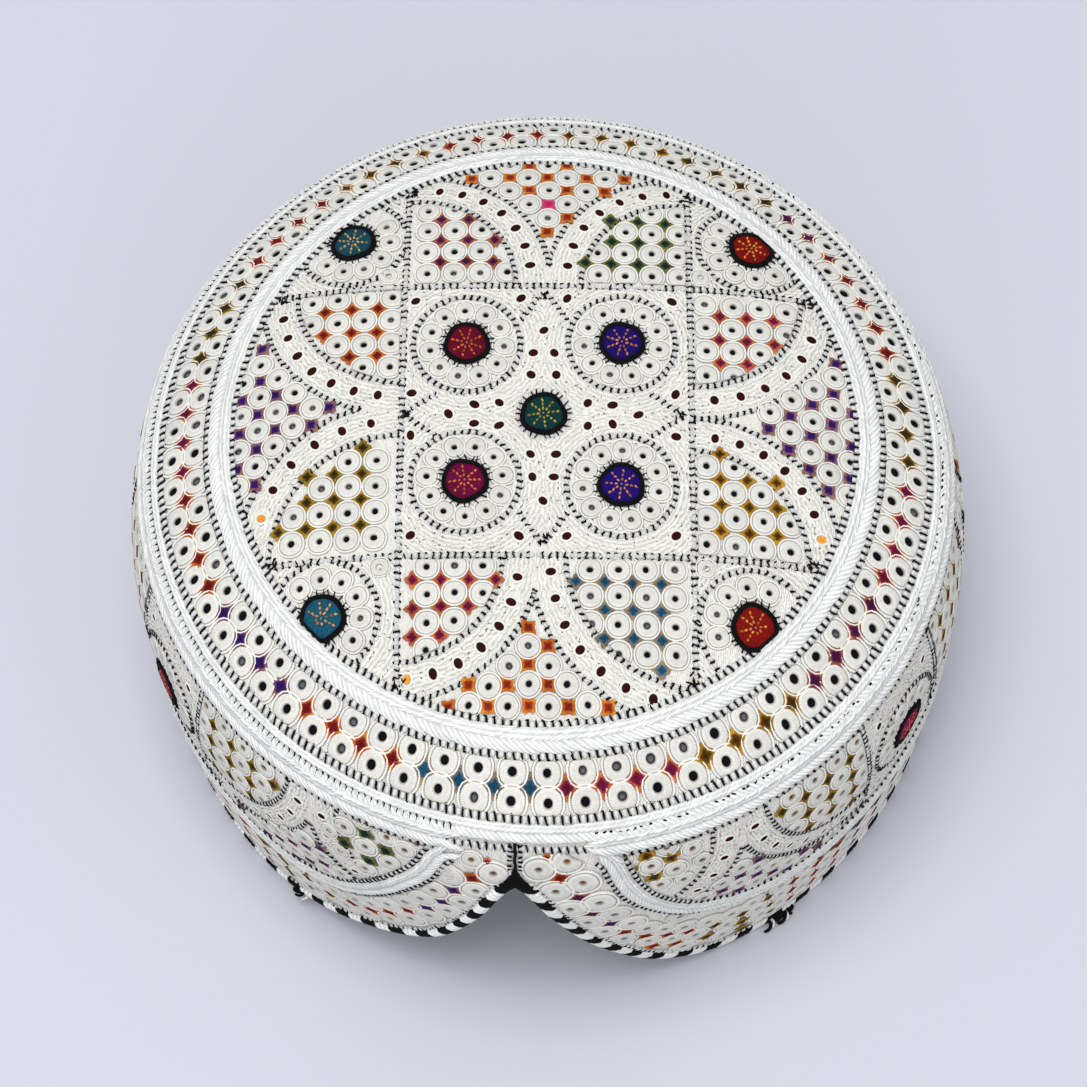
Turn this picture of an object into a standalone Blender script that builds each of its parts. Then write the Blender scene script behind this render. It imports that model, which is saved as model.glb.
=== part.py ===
"""Stiff round embroidered cap: a domed crown, a bulging side band and an arched notch at the front.

Metres, +Z up. The front faces -Y and the cap stands on its hem, with the origin on the floor in the
middle of it. Azimuths are degrees about +Z from the front, positive towards +X.
"""
import math

import bmesh
import bpy
from mathutils import Vector

# Overall shape
HEIGHT = 0.0986
SEAM_RADIUS = 0.0875          # where the crown meets the side band
CROWN_DROP = 0.0198           # from the middle of the crown down to the seam
CROWN_POWER = 3.84            # flat in the middle, steep at the rim
WIDEST_RADIUS = 0.0950
WIDEST_HEIGHT = 0.0530
HEM_RADIUS = 0.0916
SHOULDER_POWER = 1.5          # roundness of the band between its widest ring and the seam
OVAL = 1.019                  # front to back, over side to side
LEAN = (0.0028, -0.0011)      # how far the hem stands off the crown's middle, in x and y
CENTRING = (-0.0006, -0.0003)  # brings the middle of the whole cap's box over the origin

# Cloth and gaps
WALL = 0.0022
RIM_WIDTH = 0.0034            # level faces where the crown sits on the band
GAP = 0.0003
SEAM_HEIGHT = HEIGHT - CROWN_DROP

# Edging rope along the hem, and the arch that it runs up round
ROPE_HEIGHT = 0.0030
ROPE_WIDTH = 0.0036
ROPE_OUTLINE = (
    # outwards over the half width, downwards over the half height
    (0.55, -1.0),
    (1.0, -0.5),
    (1.0, 0.5),
    (0.55, 1.0),
    (-0.55, 1.0),
    (-1.0, 0.5),
    (-1.0, -0.5),
    (-0.55, -1.0),
)
CLOTH_EDGE = ROPE_HEIGHT + GAP
ARCH_APEX = -3.9
ARCH_EDGE = (
    # azimuth, height of the cloth's lower edge
    (-48.0, CLOTH_EDGE),
    (-42.0, 0.0055),
    (-35.0, 0.0100),
    (-28.0, 0.0165),
    (-21.2, 0.0226),
    (-16.5, 0.0290),
    (-13.5, 0.0373),
    (-10.5, 0.0480),
    (-8.1, 0.0582),
    (-6.2, 0.0636),
    (ARCH_APEX, 0.0658),
    (-1.6, 0.0636),
    (0.1, 0.0590),
    (3.0, 0.0478),
    (6.6, 0.0346),
    (10.7, 0.0240),
    (14.9, 0.0148),
    (19.6, 0.0088),
    (24.5, 0.0048),
    (31.0, CLOTH_EDGE),
)

# White braids: width, thickness, and where they lie
BRAID_THICKNESS = 0.0011
BRAID_OUTLINE = (
    # across over the half width, up over the thickness
    (-1.0, 0.0),
    (1.0, 0.0),
    (0.86, 0.62),
    (0.0, 1.0),
    (-0.86, 0.62),
)
LIFT = 1.25 * GAP             # from the cloth to what lies on it, over the cloth's flat facets
RING_BRAID_RADIUS = 0.0711
RING_BRAID_WIDTH = 0.0044
EDGE_BRAID_RADIUS = 0.08715
EDGE_BRAID_WIDTH = 0.0028
TOP_BRAID_HEIGHT = 0.0762
TOP_BRAID_WIDTH = 0.0042
TOP_BRAID_ENDS = (7.2, 347.2)
ARCH_BRAID_WIDTH = 0.0044
ARCH_BRAID = (
    # azimuth, height of the braid's middle
    (8.2, 0.0731),
    (11.0, 0.0610),
    (13.6, 0.0530),
    (17.8, 0.0440),
    (23.6, 0.0378),
    (30.0, 0.0335),
    (38.0, 0.0315),
    (48.0, 0.0310),
    (312.0, 0.0310),
    (323.0, 0.0320),
    (330.0, 0.0358),
    (334.0, 0.0412),
    (337.4, 0.0482),
    (340.5, 0.0560),
    (343.4, 0.0630),
    (346.6, 0.0722),
)

# Round felt patches: width, thickness, and places on the crown seen from above
PATCH_RADIUS = 0.0050
PATCH_THICKNESS = 0.0010
PATCH_LIMIT = RING_BRAID_RADIUS - RING_BRAID_WIDTH / 2 - 2 * GAP  # the ring braid trims the outer patches
CROWN_PATCHES = (
    # name, x, y, colour
    ("crown_medallion_centre", 0.0000, 0.0000, (0.03, 0.12, 0.12)),
    ("crown_medallion_inner_1", -0.0169, 0.0172, (0.26, 0.02, 0.06)),
    ("crown_medallion_inner_2", 0.0171, 0.0176, (0.06, 0.02, 0.25)),
    ("crown_medallion_inner_3", -0.0168, -0.0160, (0.28, 0.02, 0.12)),
    ("crown_medallion_inner_4", 0.0168, -0.0168, (0.06, 0.02, 0.30)),
    ("crown_medallion_outer_1", -0.0430, 0.0455, (0.03, 0.13, 0.18)),
    ("crown_medallion_outer_2", 0.0462, 0.0446, (0.38, 0.03, 0.02)),
    ("crown_medallion_outer_3", -0.0468, -0.0452, (0.03, 0.16, 0.24)),
    ("crown_medallion_outer_4", 0.0448, -0.0468, (0.38, 0.03, 0.02)),
)
BAND_PATCH_HEIGHT = 0.0540
BAND_PATCH_FIRST = 57.0
BAND_PATCH_STEP = 60.0
BAND_PATCH_COUNT = 5

# Black thread that closes the front of the band above the arch
FRONT_SEAM_THICKNESS = 0.0008
FRONT_SEAM = (
    # height of a point of the thread, half width there
    (0.0665, 0.0024),
    (0.0683, 0.0013),
    (0.0703, 0.0007),
    (0.0766, 0.0006),
)

# Mesh fineness
CROWN_RINGS = 8
CROWN_SEGMENTS = 66
BAND_ROWS = 6
EDGE_STEP = 0.0058
BRAID_SEGMENTS = 78
PATCH_SIDES = 12
STEEP_REACH = 24.0            # degrees of the arch braid at each end with short steps
STEEP_STEP = 1.6
LEVEL_STEP = 4.4
SHARP_ANGLE = 40.0

# Colours
CLOTH = (0.80, 0.79, 0.75)
BRAID = (0.86, 0.87, 0.85)
ROPE = (0.45, 0.45, 0.43)
BLACK = (0.01, 0.01, 0.012)
CRIMSON = (0.30, 0.02, 0.11)


def smooth_table(rows, position):
    """Reads a table of (position, value) rows as one smooth curve, level past its ends."""
    if position <= rows[0][0]:
        return rows[0][1]
    if position >= rows[-1][0]:
        return rows[-1][1]
    last = len(rows) - 1
    i = max(k for k in range(last) if rows[k][0] <= position)

    def slope(k):
        if k in (0, last):
            return 0.0
        return (rows[k + 1][1] - rows[k - 1][1]) / (rows[k + 1][0] - rows[k - 1][0])

    span = rows[i + 1][0] - rows[i][0]
    t = (position - rows[i][0]) / span
    start = rows[i][1] * (1 + 2 * t) * (1 - t) ** 2 + slope(i) * span * t * (1 - t) ** 2
    end = rows[i + 1][1] * t * t * (3 - 2 * t) + slope(i + 1) * span * t * t * (t - 1)
    return start + end


def edge_height(azimuth):
    """Height of the band's lower edge, which the edging rope follows."""
    return smooth_table(ARCH_EDGE, (azimuth + 180.0) % 360.0 - 180.0)


def crown_height(radius):
    return HEIGHT - CROWN_DROP * (radius / SEAM_RADIUS) ** CROWN_POWER


def band_radius(height):
    """Outer radius of the side band: a rounded shoulder over a gently tapering wall."""
    swell_above = WIDEST_RADIUS - SEAM_RADIUS
    swell_below = WIDEST_RADIUS - HEM_RADIUS
    if height > WIDEST_HEIGHT:
        u = min((height - WIDEST_HEIGHT) / (SEAM_HEIGHT - WIDEST_HEIGHT), 1.0)
        return SEAM_RADIUS + swell_above * (1 - u ** SHOULDER_POWER) ** (1 / SHOULDER_POWER)
    u = (WIDEST_HEIGHT - height) / WIDEST_HEIGHT
    return HEM_RADIUS + swell_below * math.sqrt(1 - u * u)


def place(radius, azimuth, height):
    """Point of the slightly oval and leaning cap."""
    a = math.radians(azimuth)
    shift = (WIDEST_HEIGHT - height) / HEIGHT
    x = radius * math.sin(a) + LEAN[0] * shift + CENTRING[0]
    y = -radius * math.cos(a) * OVAL + LEAN[1] * shift + CENTRING[1]
    return Vector((x, y, height))


def crown_normal(radius):
    """Outward direction (radial, up) of the crown at a radius."""
    slope = CROWN_DROP * CROWN_POWER / SEAM_RADIUS * (radius / SEAM_RADIUS) ** (CROWN_POWER - 1)
    length = math.hypot(slope, 1.0)
    return slope / length, 1.0 / length


def band_normal(height):
    """Outward direction (radial, up) of the band at a height."""
    step = 0.0004
    low, high = height - step, min(height + step, SEAM_HEIGHT)
    run = band_radius(high) - band_radius(low)
    length = math.hypot(run, high - low)
    return (high - low) / length, -run / length


def crown_point(x, y, lift):
    """Point over the crown at x and y of its plan, lifted off the cloth."""
    radius = math.hypot(x, y)
    out, up = crown_normal(radius)
    return place(radius + lift * out, math.degrees(math.atan2(x, -y)), crown_height(radius) + lift * up)


def band_point(azimuth, height, lift):
    out, up = band_normal(height)
    return place(band_radius(height) + lift * out, azimuth, height + lift * up)


def add_part(name, points, faces, colour, roughness=0.85):
    """Makes one closed object from points and faces, with its own material."""
    mesh = bpy.data.meshes.new(name)
    mesh.from_pydata([tuple(point) for point in points], [], faces)
    shell = bmesh.new()
    shell.from_mesh(mesh)
    bmesh.ops.recalc_face_normals(shell, faces=shell.faces)
    shell.to_mesh(mesh)
    shell.free()
    mesh.shade_smooth()
    mesh.set_sharp_from_angle(angle=math.radians(SHARP_ANGLE))
    material = bpy.data.materials.new(name)
    material.use_nodes = True
    shader = material.node_tree.nodes["Principled BSDF"]
    shader.inputs["Base Color"].default_value = (*colour, 1.0)
    shader.inputs["Roughness"].default_value = roughness
    shader.inputs["Metallic"].default_value = 0.0
    mesh.materials.append(material)
    part = bpy.data.objects.new(name, mesh)
    bpy.context.collection.objects.link(part)


def loft(name, sections, colour, closed_path, roughness=0.85):
    """Skins closed sections of equal size, in order, as a ring or as a capped strip."""
    size = len(sections[0])
    points = [point for section in sections for point in section]
    count = len(sections)
    faces = []
    for i in range(count if closed_path else count - 1):
        here, there = i * size, (i + 1) % count * size
        for k in range(size):
            after = (k + 1) % size
            faces.append((here + k, here + after, there + after, there + k))
    if not closed_path:
        faces.append(tuple(range(size)))
        faces.append(tuple((count - 1) * size + k for k in range(size)))
    add_part(name, points, faces, colour, roughness)


def make_crown():
    """Domed disc of cloth with a level rim that sits on the band."""
    inner_rim = SEAM_RADIUS - RIM_WIDTH
    shares = [math.sin(0.5 * math.pi * i / CROWN_RINGS) for i in range(1, CROWN_RINGS + 1)]
    outer = [(SEAM_RADIUS * share, crown_height(SEAM_RADIUS * share)) for share in shares]
    inner = []
    for share in shares[:-1]:
        radius = inner_rim * share
        inner.append((radius, crown_height(radius) - WALL / crown_normal(radius)[1]))
    inner.append((inner_rim, SEAM_HEIGHT))
    profile = outer + inner[::-1]
    size = len(profile)
    points = []
    for i in range(CROWN_SEGMENTS):
        azimuth = 360.0 * i / CROWN_SEGMENTS
        points += [place(radius, azimuth, height) for radius, height in profile]
    top = len(points)
    points += [place(0.0, 0.0, HEIGHT), place(0.0, 0.0, HEIGHT - WALL)]
    faces = []
    for i in range(CROWN_SEGMENTS):
        here, there = i * size, (i + 1) % CROWN_SEGMENTS * size
        faces.append((top, here, there))
        faces.append((top + 1, there + size - 1, here + size - 1))
        faces += [(here + k, here + k + 1, there + k + 1, there + k) for k in range(size - 1)]
    add_part("crown", points, faces, CLOTH)


def edge_azimuths():
    """Azimuths evenly spaced along the band's lower edge, the first at the arch's apex."""
    fine_step = 0.2
    count = int(360.0 / fine_step)
    lengths = [0.0]
    for i in range(count):
        here = ARCH_APEX + i * fine_step
        rise = edge_height(here + fine_step) - edge_height(here)
        lengths.append(lengths[-1] + math.hypot(WIDEST_RADIUS * math.radians(fine_step), rise))
    stations = round(lengths[-1] / EDGE_STEP)
    azimuths = []
    i = 0
    for station in range(stations):
        target = lengths[-1] * station / stations
        while lengths[i + 1] < target:
            i += 1
        share = (target - lengths[i]) / (lengths[i + 1] - lengths[i])
        azimuths.append(ARCH_APEX + (i + share) * fine_step)
    return azimuths


def make_side_band(azimuths):
    """Cloth wall from its arched lower edge up to the seam, thickened inwards."""
    top = SEAM_HEIGHT - GAP
    sections = []
    for azimuth in azimuths:
        low = edge_height(azimuth)
        heights = [low + (top - low) * math.sin(0.5 * math.pi * i / BAND_ROWS) for i in range(BAND_ROWS + 1)]
        outer = [place(band_radius(height), azimuth, height) for height in heights]
        inner = []
        for height in heights:
            thickness = min(WALL / band_normal(height)[0], RIM_WIDTH)
            inner.append(place(band_radius(height) - thickness, azimuth, height))
        sections.append(outer + inner[::-1])
    loft("side_band", sections, CLOTH, closed_path=True)


def make_hem_edging(azimuths):
    """Rope under the cloth's edge, with a level underside where the cap stands."""
    path = [place(band_radius(edge_height(a)) - WALL / 2, a, edge_height(a)) for a in azimuths]
    half_width, half_height = ROPE_WIDTH / 2, ROPE_HEIGHT / 2
    sections = []
    count = len(path)
    for i, azimuth in enumerate(azimuths):
        along = (path[(i + 1) % count] - path[i - 1]).normalized()
        a = math.radians(azimuth)
        outward = Vector((math.sin(a), -math.cos(a), 0.0))
        down = outward.cross(along).normalized()
        if down.z > 0:
            down.negate()
        outward = (outward - along * outward.dot(along)).normalized()
        middle = path[i] + down * (GAP + half_height)
        section = [middle + outward * (half_width * u) + down * (half_height * v) for u, v in ROPE_OUTLINE]
        sections.append(section)
    loft("hem_edging", sections, ROPE, closed_path=True)


def strip_section(point, across, normal, half_width, thickness):
    """Low rounded cross-section of a strip that lies just above the cloth."""
    return [point + across * (half_width * u) + normal * (LIFT + thickness * v) for u, v in BRAID_OUTLINE]


def make_ring_braid(name, radius, width):
    """White braid in a ring on the crown, tilted as the crown is there."""
    out, up = crown_normal(radius)
    sections = []
    for i in range(BRAID_SEGMENTS):
        azimuth = 360.0 * i / BRAID_SEGMENTS
        a = math.radians(azimuth)
        outward = Vector((math.sin(a), -math.cos(a), 0.0))
        rise = Vector((0.0, 0.0, 1.0))
        across, normal = outward * up - rise * out, outward * out + rise * up
        point = place(radius, azimuth, crown_height(radius))
        sections.append(strip_section(point, across, normal, width / 2, BRAID_THICKNESS))
    loft(name, sections, BRAID, closed_path=True)


def make_band_strip(name, path, half_widths, thickness, colour):
    """Low strip that follows a path of (azimuth, height) over the band."""
    sections = []
    last = len(path) - 1
    for i, (azimuth, height) in enumerate(path):
        point = band_point(azimuth, height, 0.0)
        before, after = path[max(i - 1, 0)], path[min(i + 1, last)]
        along = (band_point(*after, 0.0) - band_point(*before, 0.0)).normalized()
        normal = (band_point(azimuth, height, thickness) - point).normalized()
        across = normal.cross(along).normalized()
        sections.append(strip_section(point, across, normal, half_widths[i], thickness))
    loft(name, sections, colour, closed_path=False)


def make_band_braids():
    """The braid along the band's top, and the one that arches down beside the notch and on round the back."""
    first, last = TOP_BRAID_ENDS
    steps = BRAID_SEGMENTS
    path = [(first + (last - first) * i / steps, TOP_BRAID_HEIGHT) for i in range(steps + 1)]
    make_band_strip("band_top_braid", path, [TOP_BRAID_WIDTH / 2] * len(path), BRAID_THICKNESS, BRAID)
    start, end = ARCH_BRAID[0][0], ARCH_BRAID[-1][0]
    azimuths = [start]
    while azimuths[-1] < end - STEEP_STEP:
        from_ends = min(azimuths[-1] - start, end - azimuths[-1])
        azimuths.append(azimuths[-1] + (STEEP_STEP if from_ends < STEEP_REACH else LEVEL_STEP))
    azimuths[-1] = end
    path = [(azimuth, smooth_table(ARCH_BRAID, azimuth)) for azimuth in azimuths]
    make_band_strip("band_arch_braid", path, [ARCH_BRAID_WIDTH / 2] * len(path), BRAID_THICKNESS, BRAID)


def make_front_seam():
    """Black thread up the front of the band, widening towards the arch."""
    path = [(ARCH_APEX, height) for height, half in FRONT_SEAM]
    make_band_strip("front_seam", path, [half for height, half in FRONT_SEAM], FRONT_SEAM_THICKNESS, BLACK)


def make_patch(name, locate, colour):
    """Round felt patch with a softly rounded top; locate(x, y, lift) finds a point near its middle."""
    rings = (
        # share of the radius, share of the thickness
        (1.0, 0.0),
        (1.0, 0.7),
        (0.6, 1.0),
    )
    points = []
    for share, rise in rings:
        for i in range(PATCH_SIDES):
            a = 2 * math.pi * i / PATCH_SIDES
            reach = PATCH_RADIUS * share
            points.append(locate(reach * math.cos(a), reach * math.sin(a), LIFT + PATCH_THICKNESS * rise))
    under = len(points)
    points.append(locate(0.0, 0.0, LIFT))
    points.append(locate(0.0, 0.0, LIFT + PATCH_THICKNESS))
    faces = []
    for i in range(PATCH_SIDES):
        after = (i + 1) % PATCH_SIDES
        faces.append((under, after, i))
        for ring in range(len(rings) - 1):
            low, high = ring * PATCH_SIDES, (ring + 1) * PATCH_SIDES
            faces.append((low + i, low + after, high + after, high + i))
        top_ring = (len(rings) - 1) * PATCH_SIDES
        faces.append((under + 1, top_ring + i, top_ring + after))
    add_part(name, points, faces, colour, roughness=0.95)


def make_crown_patches():
    """Patches on the crown; what would lie under the ring braid is pulled in to its inner edge."""
    for name, x, y, colour in CROWN_PATCHES:

        def locate(dx, dy, lift, x=x, y=y):
            radius = math.hypot(x + dx, y + dy)
            share = min(1.0, PATCH_LIMIT / radius) if radius > 0 else 1.0
            return crown_point((x + dx) * share, (y + dy) * share, lift)

        make_patch(name, locate, colour)


def make_band_patches():
    radius = band_radius(BAND_PATCH_HEIGHT)
    for i in range(BAND_PATCH_COUNT):
        azimuth = BAND_PATCH_FIRST + BAND_PATCH_STEP * i

        def locate(dx, dy, lift, azimuth=azimuth):
            return band_point(azimuth + math.degrees(dx / radius), BAND_PATCH_HEIGHT + dy, lift)

        make_patch(f"band_medallion_{i + 1}", locate, CRIMSON)


def main():
    for old in list(bpy.data.objects):
        bpy.data.objects.remove(old)
    azimuths = edge_azimuths()
    make_crown()
    make_side_band(azimuths)
    make_hem_edging(azimuths)
    make_ring_braid("crown_ring_braid", RING_BRAID_RADIUS, RING_BRAID_WIDTH)
    make_ring_braid("crown_edge_braid", EDGE_BRAID_RADIUS, EDGE_BRAID_WIDTH)
    make_band_braids()
    make_front_seam()
    make_crown_patches()
    make_band_patches()


main()
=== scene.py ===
"""Looks of the embroidered cap: cloth, eyelets, felt stars, stitched lines, braids, medallions and edging.

The layout tables are in millimetres on the crown's plan (x, y) or on the band (azimuth in degrees from
the front, height), and the surfaces below turn them into metres in the model's own frame.
"""
import math
import random
import bpy
import numpy as np
from mathutils import Matrix, Vector


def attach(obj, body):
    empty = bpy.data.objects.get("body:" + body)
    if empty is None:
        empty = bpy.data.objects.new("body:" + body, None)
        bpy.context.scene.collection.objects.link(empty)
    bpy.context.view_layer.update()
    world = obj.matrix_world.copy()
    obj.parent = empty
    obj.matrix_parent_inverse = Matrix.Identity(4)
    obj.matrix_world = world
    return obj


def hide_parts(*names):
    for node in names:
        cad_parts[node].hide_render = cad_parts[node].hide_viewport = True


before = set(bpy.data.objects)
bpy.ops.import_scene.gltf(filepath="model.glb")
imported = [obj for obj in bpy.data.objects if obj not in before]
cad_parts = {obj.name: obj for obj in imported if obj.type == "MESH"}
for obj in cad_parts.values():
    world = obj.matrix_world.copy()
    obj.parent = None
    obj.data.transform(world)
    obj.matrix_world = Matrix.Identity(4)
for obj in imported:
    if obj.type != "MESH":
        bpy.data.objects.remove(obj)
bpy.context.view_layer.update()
rng = random.Random(7)

MM = 0.001

# The cap's surfaces, in millimetres
HEIGHT = 98.6
SEAM_RADIUS = 87.5
CROWN_DROP = 19.8
CROWN_POWER = 3.84
WIDEST_RADIUS = 95.0
WIDEST_HEIGHT = 53.0
HEM_RADIUS = 91.6
SHOULDER_POWER = 1.5
OVAL = 1.019
LEAN = (2.8, -1.1)
CENTRING = (-0.6, -0.3)
WALL = 2.2
SEAM_HEIGHT = HEIGHT - CROWN_DROP
CLOTH_EDGE = 3.3
ARCH_APEX = -3.9
ARCH_EDGE = (
    # azimuth, height of the cloth's lower edge
    (-48.0, CLOTH_EDGE), (-42.0, 5.5), (-35.0, 10.0), (-28.0, 16.5), (-21.2, 22.6), (-16.5, 29.0),
    (-13.5, 37.3), (-10.5, 48.0), (-8.1, 58.2), (-6.2, 63.6), (ARCH_APEX, 65.8), (-1.6, 63.6),
    (0.1, 59.0), (3.0, 47.8), (6.6, 34.6), (10.7, 24.0), (14.9, 14.8), (19.6, 8.8), (24.5, 4.8),
    (31.0, CLOTH_EDGE),
)
ARCH_BRAID = (
    # azimuth, height of the braid's middle
    (8.2, 73.1), (11.0, 61.0), (13.6, 53.0), (17.8, 44.0), (23.6, 37.8), (30.0, 33.5), (38.0, 31.5),
    (48.0, 31.0), (312.0, 31.0), (323.0, 32.0), (330.0, 35.8), (334.0, 41.2), (337.4, 48.2),
    (340.5, 56.0), (343.4, 63.0), (346.6, 72.2),
)

# The camera, from the photograph
CAMERA_AT = (-1.735, -316.83, 682.32)
CAMERA_PITCH = 63.9
CAMERA_ROLL = 0.33
CAMERA_LENS = 101.37
SENSOR = 36.0

# Colours, as linear values
THREAD = (0.80, 0.785, 0.73)
THREAD_BRIGHT = (0.79, 0.80, 0.78)
BLACK = (0.004, 0.004, 0.005)
BROWN = (0.022, 0.004, 0.003)
RIM_TAN = (0.30, 0.15, 0.06)
HOLE_GREY = (0.13, 0.125, 0.13)
# painted shade of the small gaps between stitches in the white fields
PAINTED_GAP_SHADE = (0.16, 0.15, 0.13)
ORANGE_FILL = (0.62, 0.20, 0.02)
GOLD = (0.62, 0.27, 0.04)
FELTS = {
    # name: middle, body, tip
    "red": ((0.090, 0.003, 0.006), (0.32, 0.016, 0.010), (0.58, 0.24, 0.030)),
    "orange": ((0.160, 0.010, 0.006), (0.42, 0.045, 0.010), (0.64, 0.28, 0.030)),
    "crimson": ((0.085, 0.003, 0.026), (0.28, 0.006, 0.045), (0.56, 0.24, 0.040)),
    "plum": ((0.035, 0.004, 0.035), (0.14, 0.006, 0.055), (0.46, 0.20, 0.040)),
    "violet": ((0.016, 0.004, 0.075), (0.045, 0.008, 0.16), (0.40, 0.19, 0.050)),
    "indigo": ((0.008, 0.006, 0.090), (0.020, 0.012, 0.17), (0.40, 0.18, 0.050)),
    "blue": ((0.006, 0.050, 0.10), (0.014, 0.110, 0.19), (0.46, 0.25, 0.050)),
    "green": ((0.002, 0.014, 0.010), (0.006, 0.050, 0.032), (0.26, 0.21, 0.030)),
    "olive": ((0.016, 0.010, 0.002), (0.12, 0.070, 0.006), (0.48, 0.28, 0.030)),
    "amber": ((0.025, 0.010, 0.001), (0.26, 0.115, 0.008), (0.55, 0.30, 0.030)),
    "pink": ((0.42, 0.012, 0.090), (0.50, 0.025, 0.130), (0.55, 0.08, 0.14)),
}


# Surfaces

def smooth_table(rows, position):
    """Reads a table of (position, value) rows as one smooth curve, level past its ends."""
    if position <= rows[0][0]:
        return rows[0][1]
    if position >= rows[-1][0]:
        return rows[-1][1]
    last = len(rows) - 1
    i = max(k for k in range(last) if rows[k][0] <= position)

    def slope(k):
        if k in (0, last):
            return 0.0
        return (rows[k + 1][1] - rows[k - 1][1]) / (rows[k + 1][0] - rows[k - 1][0])

    span = rows[i + 1][0] - rows[i][0]
    t = (position - rows[i][0]) / span
    start = rows[i][1] * (1 + 2 * t) * (1 - t) ** 2 + slope(i) * span * t * (1 - t) ** 2
    end = rows[i + 1][1] * t * t * (3 - 2 * t) + slope(i + 1) * span * t * t * (t - 1)
    return start + end


def edge_height(azimuth):
    return smooth_table(ARCH_EDGE, (azimuth + 180.0) % 360.0 - 180.0)


def braid_height(azimuth):
    return smooth_table(ARCH_BRAID, azimuth % 360.0)


def place(radius, azimuth, height):
    """Points in metres of the slightly oval and leaning cap, from arrays in millimetres and degrees."""
    a = np.radians(azimuth)
    shift = (WIDEST_HEIGHT - height) / HEIGHT
    x = radius * np.sin(a) + LEAN[0] * shift + CENTRING[0]
    y = -radius * np.cos(a) * OVAL + LEAN[1] * shift + CENTRING[1]
    return np.stack([x, y, height + 0 * x], axis=-1) * MM


def crown_height(radius):
    return HEIGHT - CROWN_DROP * (radius / SEAM_RADIUS) ** CROWN_POWER


def on_crown(flat):
    """Flat (x, y, lift) in millimetres to points over the crown, in metres."""
    x, y, lift = flat[:, 0], flat[:, 1], flat[:, 2]
    radius = np.hypot(x, y)
    slope = CROWN_DROP * CROWN_POWER / SEAM_RADIUS * (radius / SEAM_RADIUS) ** (CROWN_POWER - 1)
    length = np.hypot(slope, 1.0)
    azimuth = np.degrees(np.arctan2(x, -y))
    return place(radius + lift * slope / length, azimuth, crown_height(radius) + lift / length)


def band_radius(height):
    """Outer radius of the side band: a rounded shoulder over a gently tapering wall."""
    height = np.asarray(height, float)
    u = np.clip((height - WIDEST_HEIGHT) / (SEAM_HEIGHT - WIDEST_HEIGHT), 0.0, 1.0)
    above = SEAM_RADIUS + (WIDEST_RADIUS - SEAM_RADIUS) * (1 - u ** SHOULDER_POWER) ** (1 / SHOULDER_POWER)
    v = np.clip((WIDEST_HEIGHT - height) / WIDEST_HEIGHT, 0.0, 1.0)
    below = HEM_RADIUS + (WIDEST_RADIUS - HEM_RADIUS) * np.sqrt(1 - v * v)
    return np.where(height > WIDEST_HEIGHT, above, below)


def on_band(flat):
    """Flat (arc length at the widest ring, height, lift) in millimetres to points over the band."""
    azimuth = np.degrees(flat[:, 0] / WIDEST_RADIUS)
    height, lift = flat[:, 1], flat[:, 2]
    step = 0.4
    run = band_radius(np.minimum(height + step, SEAM_HEIGHT)) - band_radius(height - step)
    rise = np.minimum(height + step, SEAM_HEIGHT) - height + step
    length = np.hypot(run, rise)
    return place(band_radius(height) + lift * rise / length, azimuth, height - lift * run / length)


def arc(azimuth):
    """Arc length in millimetres at the band's widest ring."""
    return math.radians(azimuth) * WIDEST_RADIUS


# Mesh building

class Work:
    """Gathers small shapes in flat coordinates and lays them over one of the surfaces as one mesh."""

    def __init__(self, name, surface):
        self.name = name
        self.surface = surface
        self.count = 0
        self.points, self.tints = [], []
        self.quads, self.quad_uvs = [], []

    def add(self, points, quads, uvs, tints):
        """points (n, 3); quads (m, 4), a triangle repeats its last corner; uvs (m, 4, 2); tints (n, 3)."""
        self.points.append(points)
        self.tints.append(np.broadcast_to(np.asarray(tints, float), (len(points), 3)))
        self.quads.append(quads + self.count)
        self.quad_uvs.append(uvs)
        self.count += len(points)

    def build(self, material, slot, replaced=()):
        """Makes the object, which rides on the cap and takes the given material; the named slot is not used.
        """
        points = self.surface(np.concatenate(self.points)).astype(np.float32)
        quads = np.concatenate(self.quads)
        uvs = np.concatenate(self.quad_uvs)
        tints = np.concatenate(self.tints)
        corners = quads.ravel()
        keep = np.ones(quads.shape, bool)
        keep[:, 3] = quads[:, 3] != quads[:, 2]
        sizes = keep.sum(axis=1)
        mesh = bpy.data.meshes.new(self.name)
        mesh.vertices.add(len(points))
        mesh.vertices.foreach_set("co", points.ravel())
        mesh.loops.add(int(sizes.sum()))
        mesh.loops.foreach_set("vertex_index", corners[keep.ravel()].astype(np.int32))
        mesh.polygons.add(len(quads))
        mesh.polygons.foreach_set("loop_start", np.concatenate([[0], np.cumsum(sizes)[:-1]]).astype(np.int32))
        mesh.update(calc_edges=True)
        layer = mesh.uv_layers.new(name="UVMap")
        layer.data.foreach_set("uv", uvs.reshape(-1, 2)[keep.ravel()].astype(np.float32).ravel())
        tint = mesh.color_attributes.new("tint", "FLOAT_COLOR", "POINT")
        rgba = np.ones((len(points), 4), np.float32)
        rgba[:, :3] = tints
        tint.data.foreach_set("color", rgba.ravel())
        mesh.shade_smooth()
        mesh.validate()
        mesh.materials.append(material)
        piece = bpy.data.objects.new(self.name, mesh)
        bpy.context.scene.collection.objects.link(piece)
        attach(piece, "root")
        if replaced:
            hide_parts(*replaced)


def corner_uvs(*corners):
    """The (m, 4, 2) uvs of faces from the (u, v) arrays of their corners."""
    return np.stack([np.stack(corner, 1) for corner in corners], 1)


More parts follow.
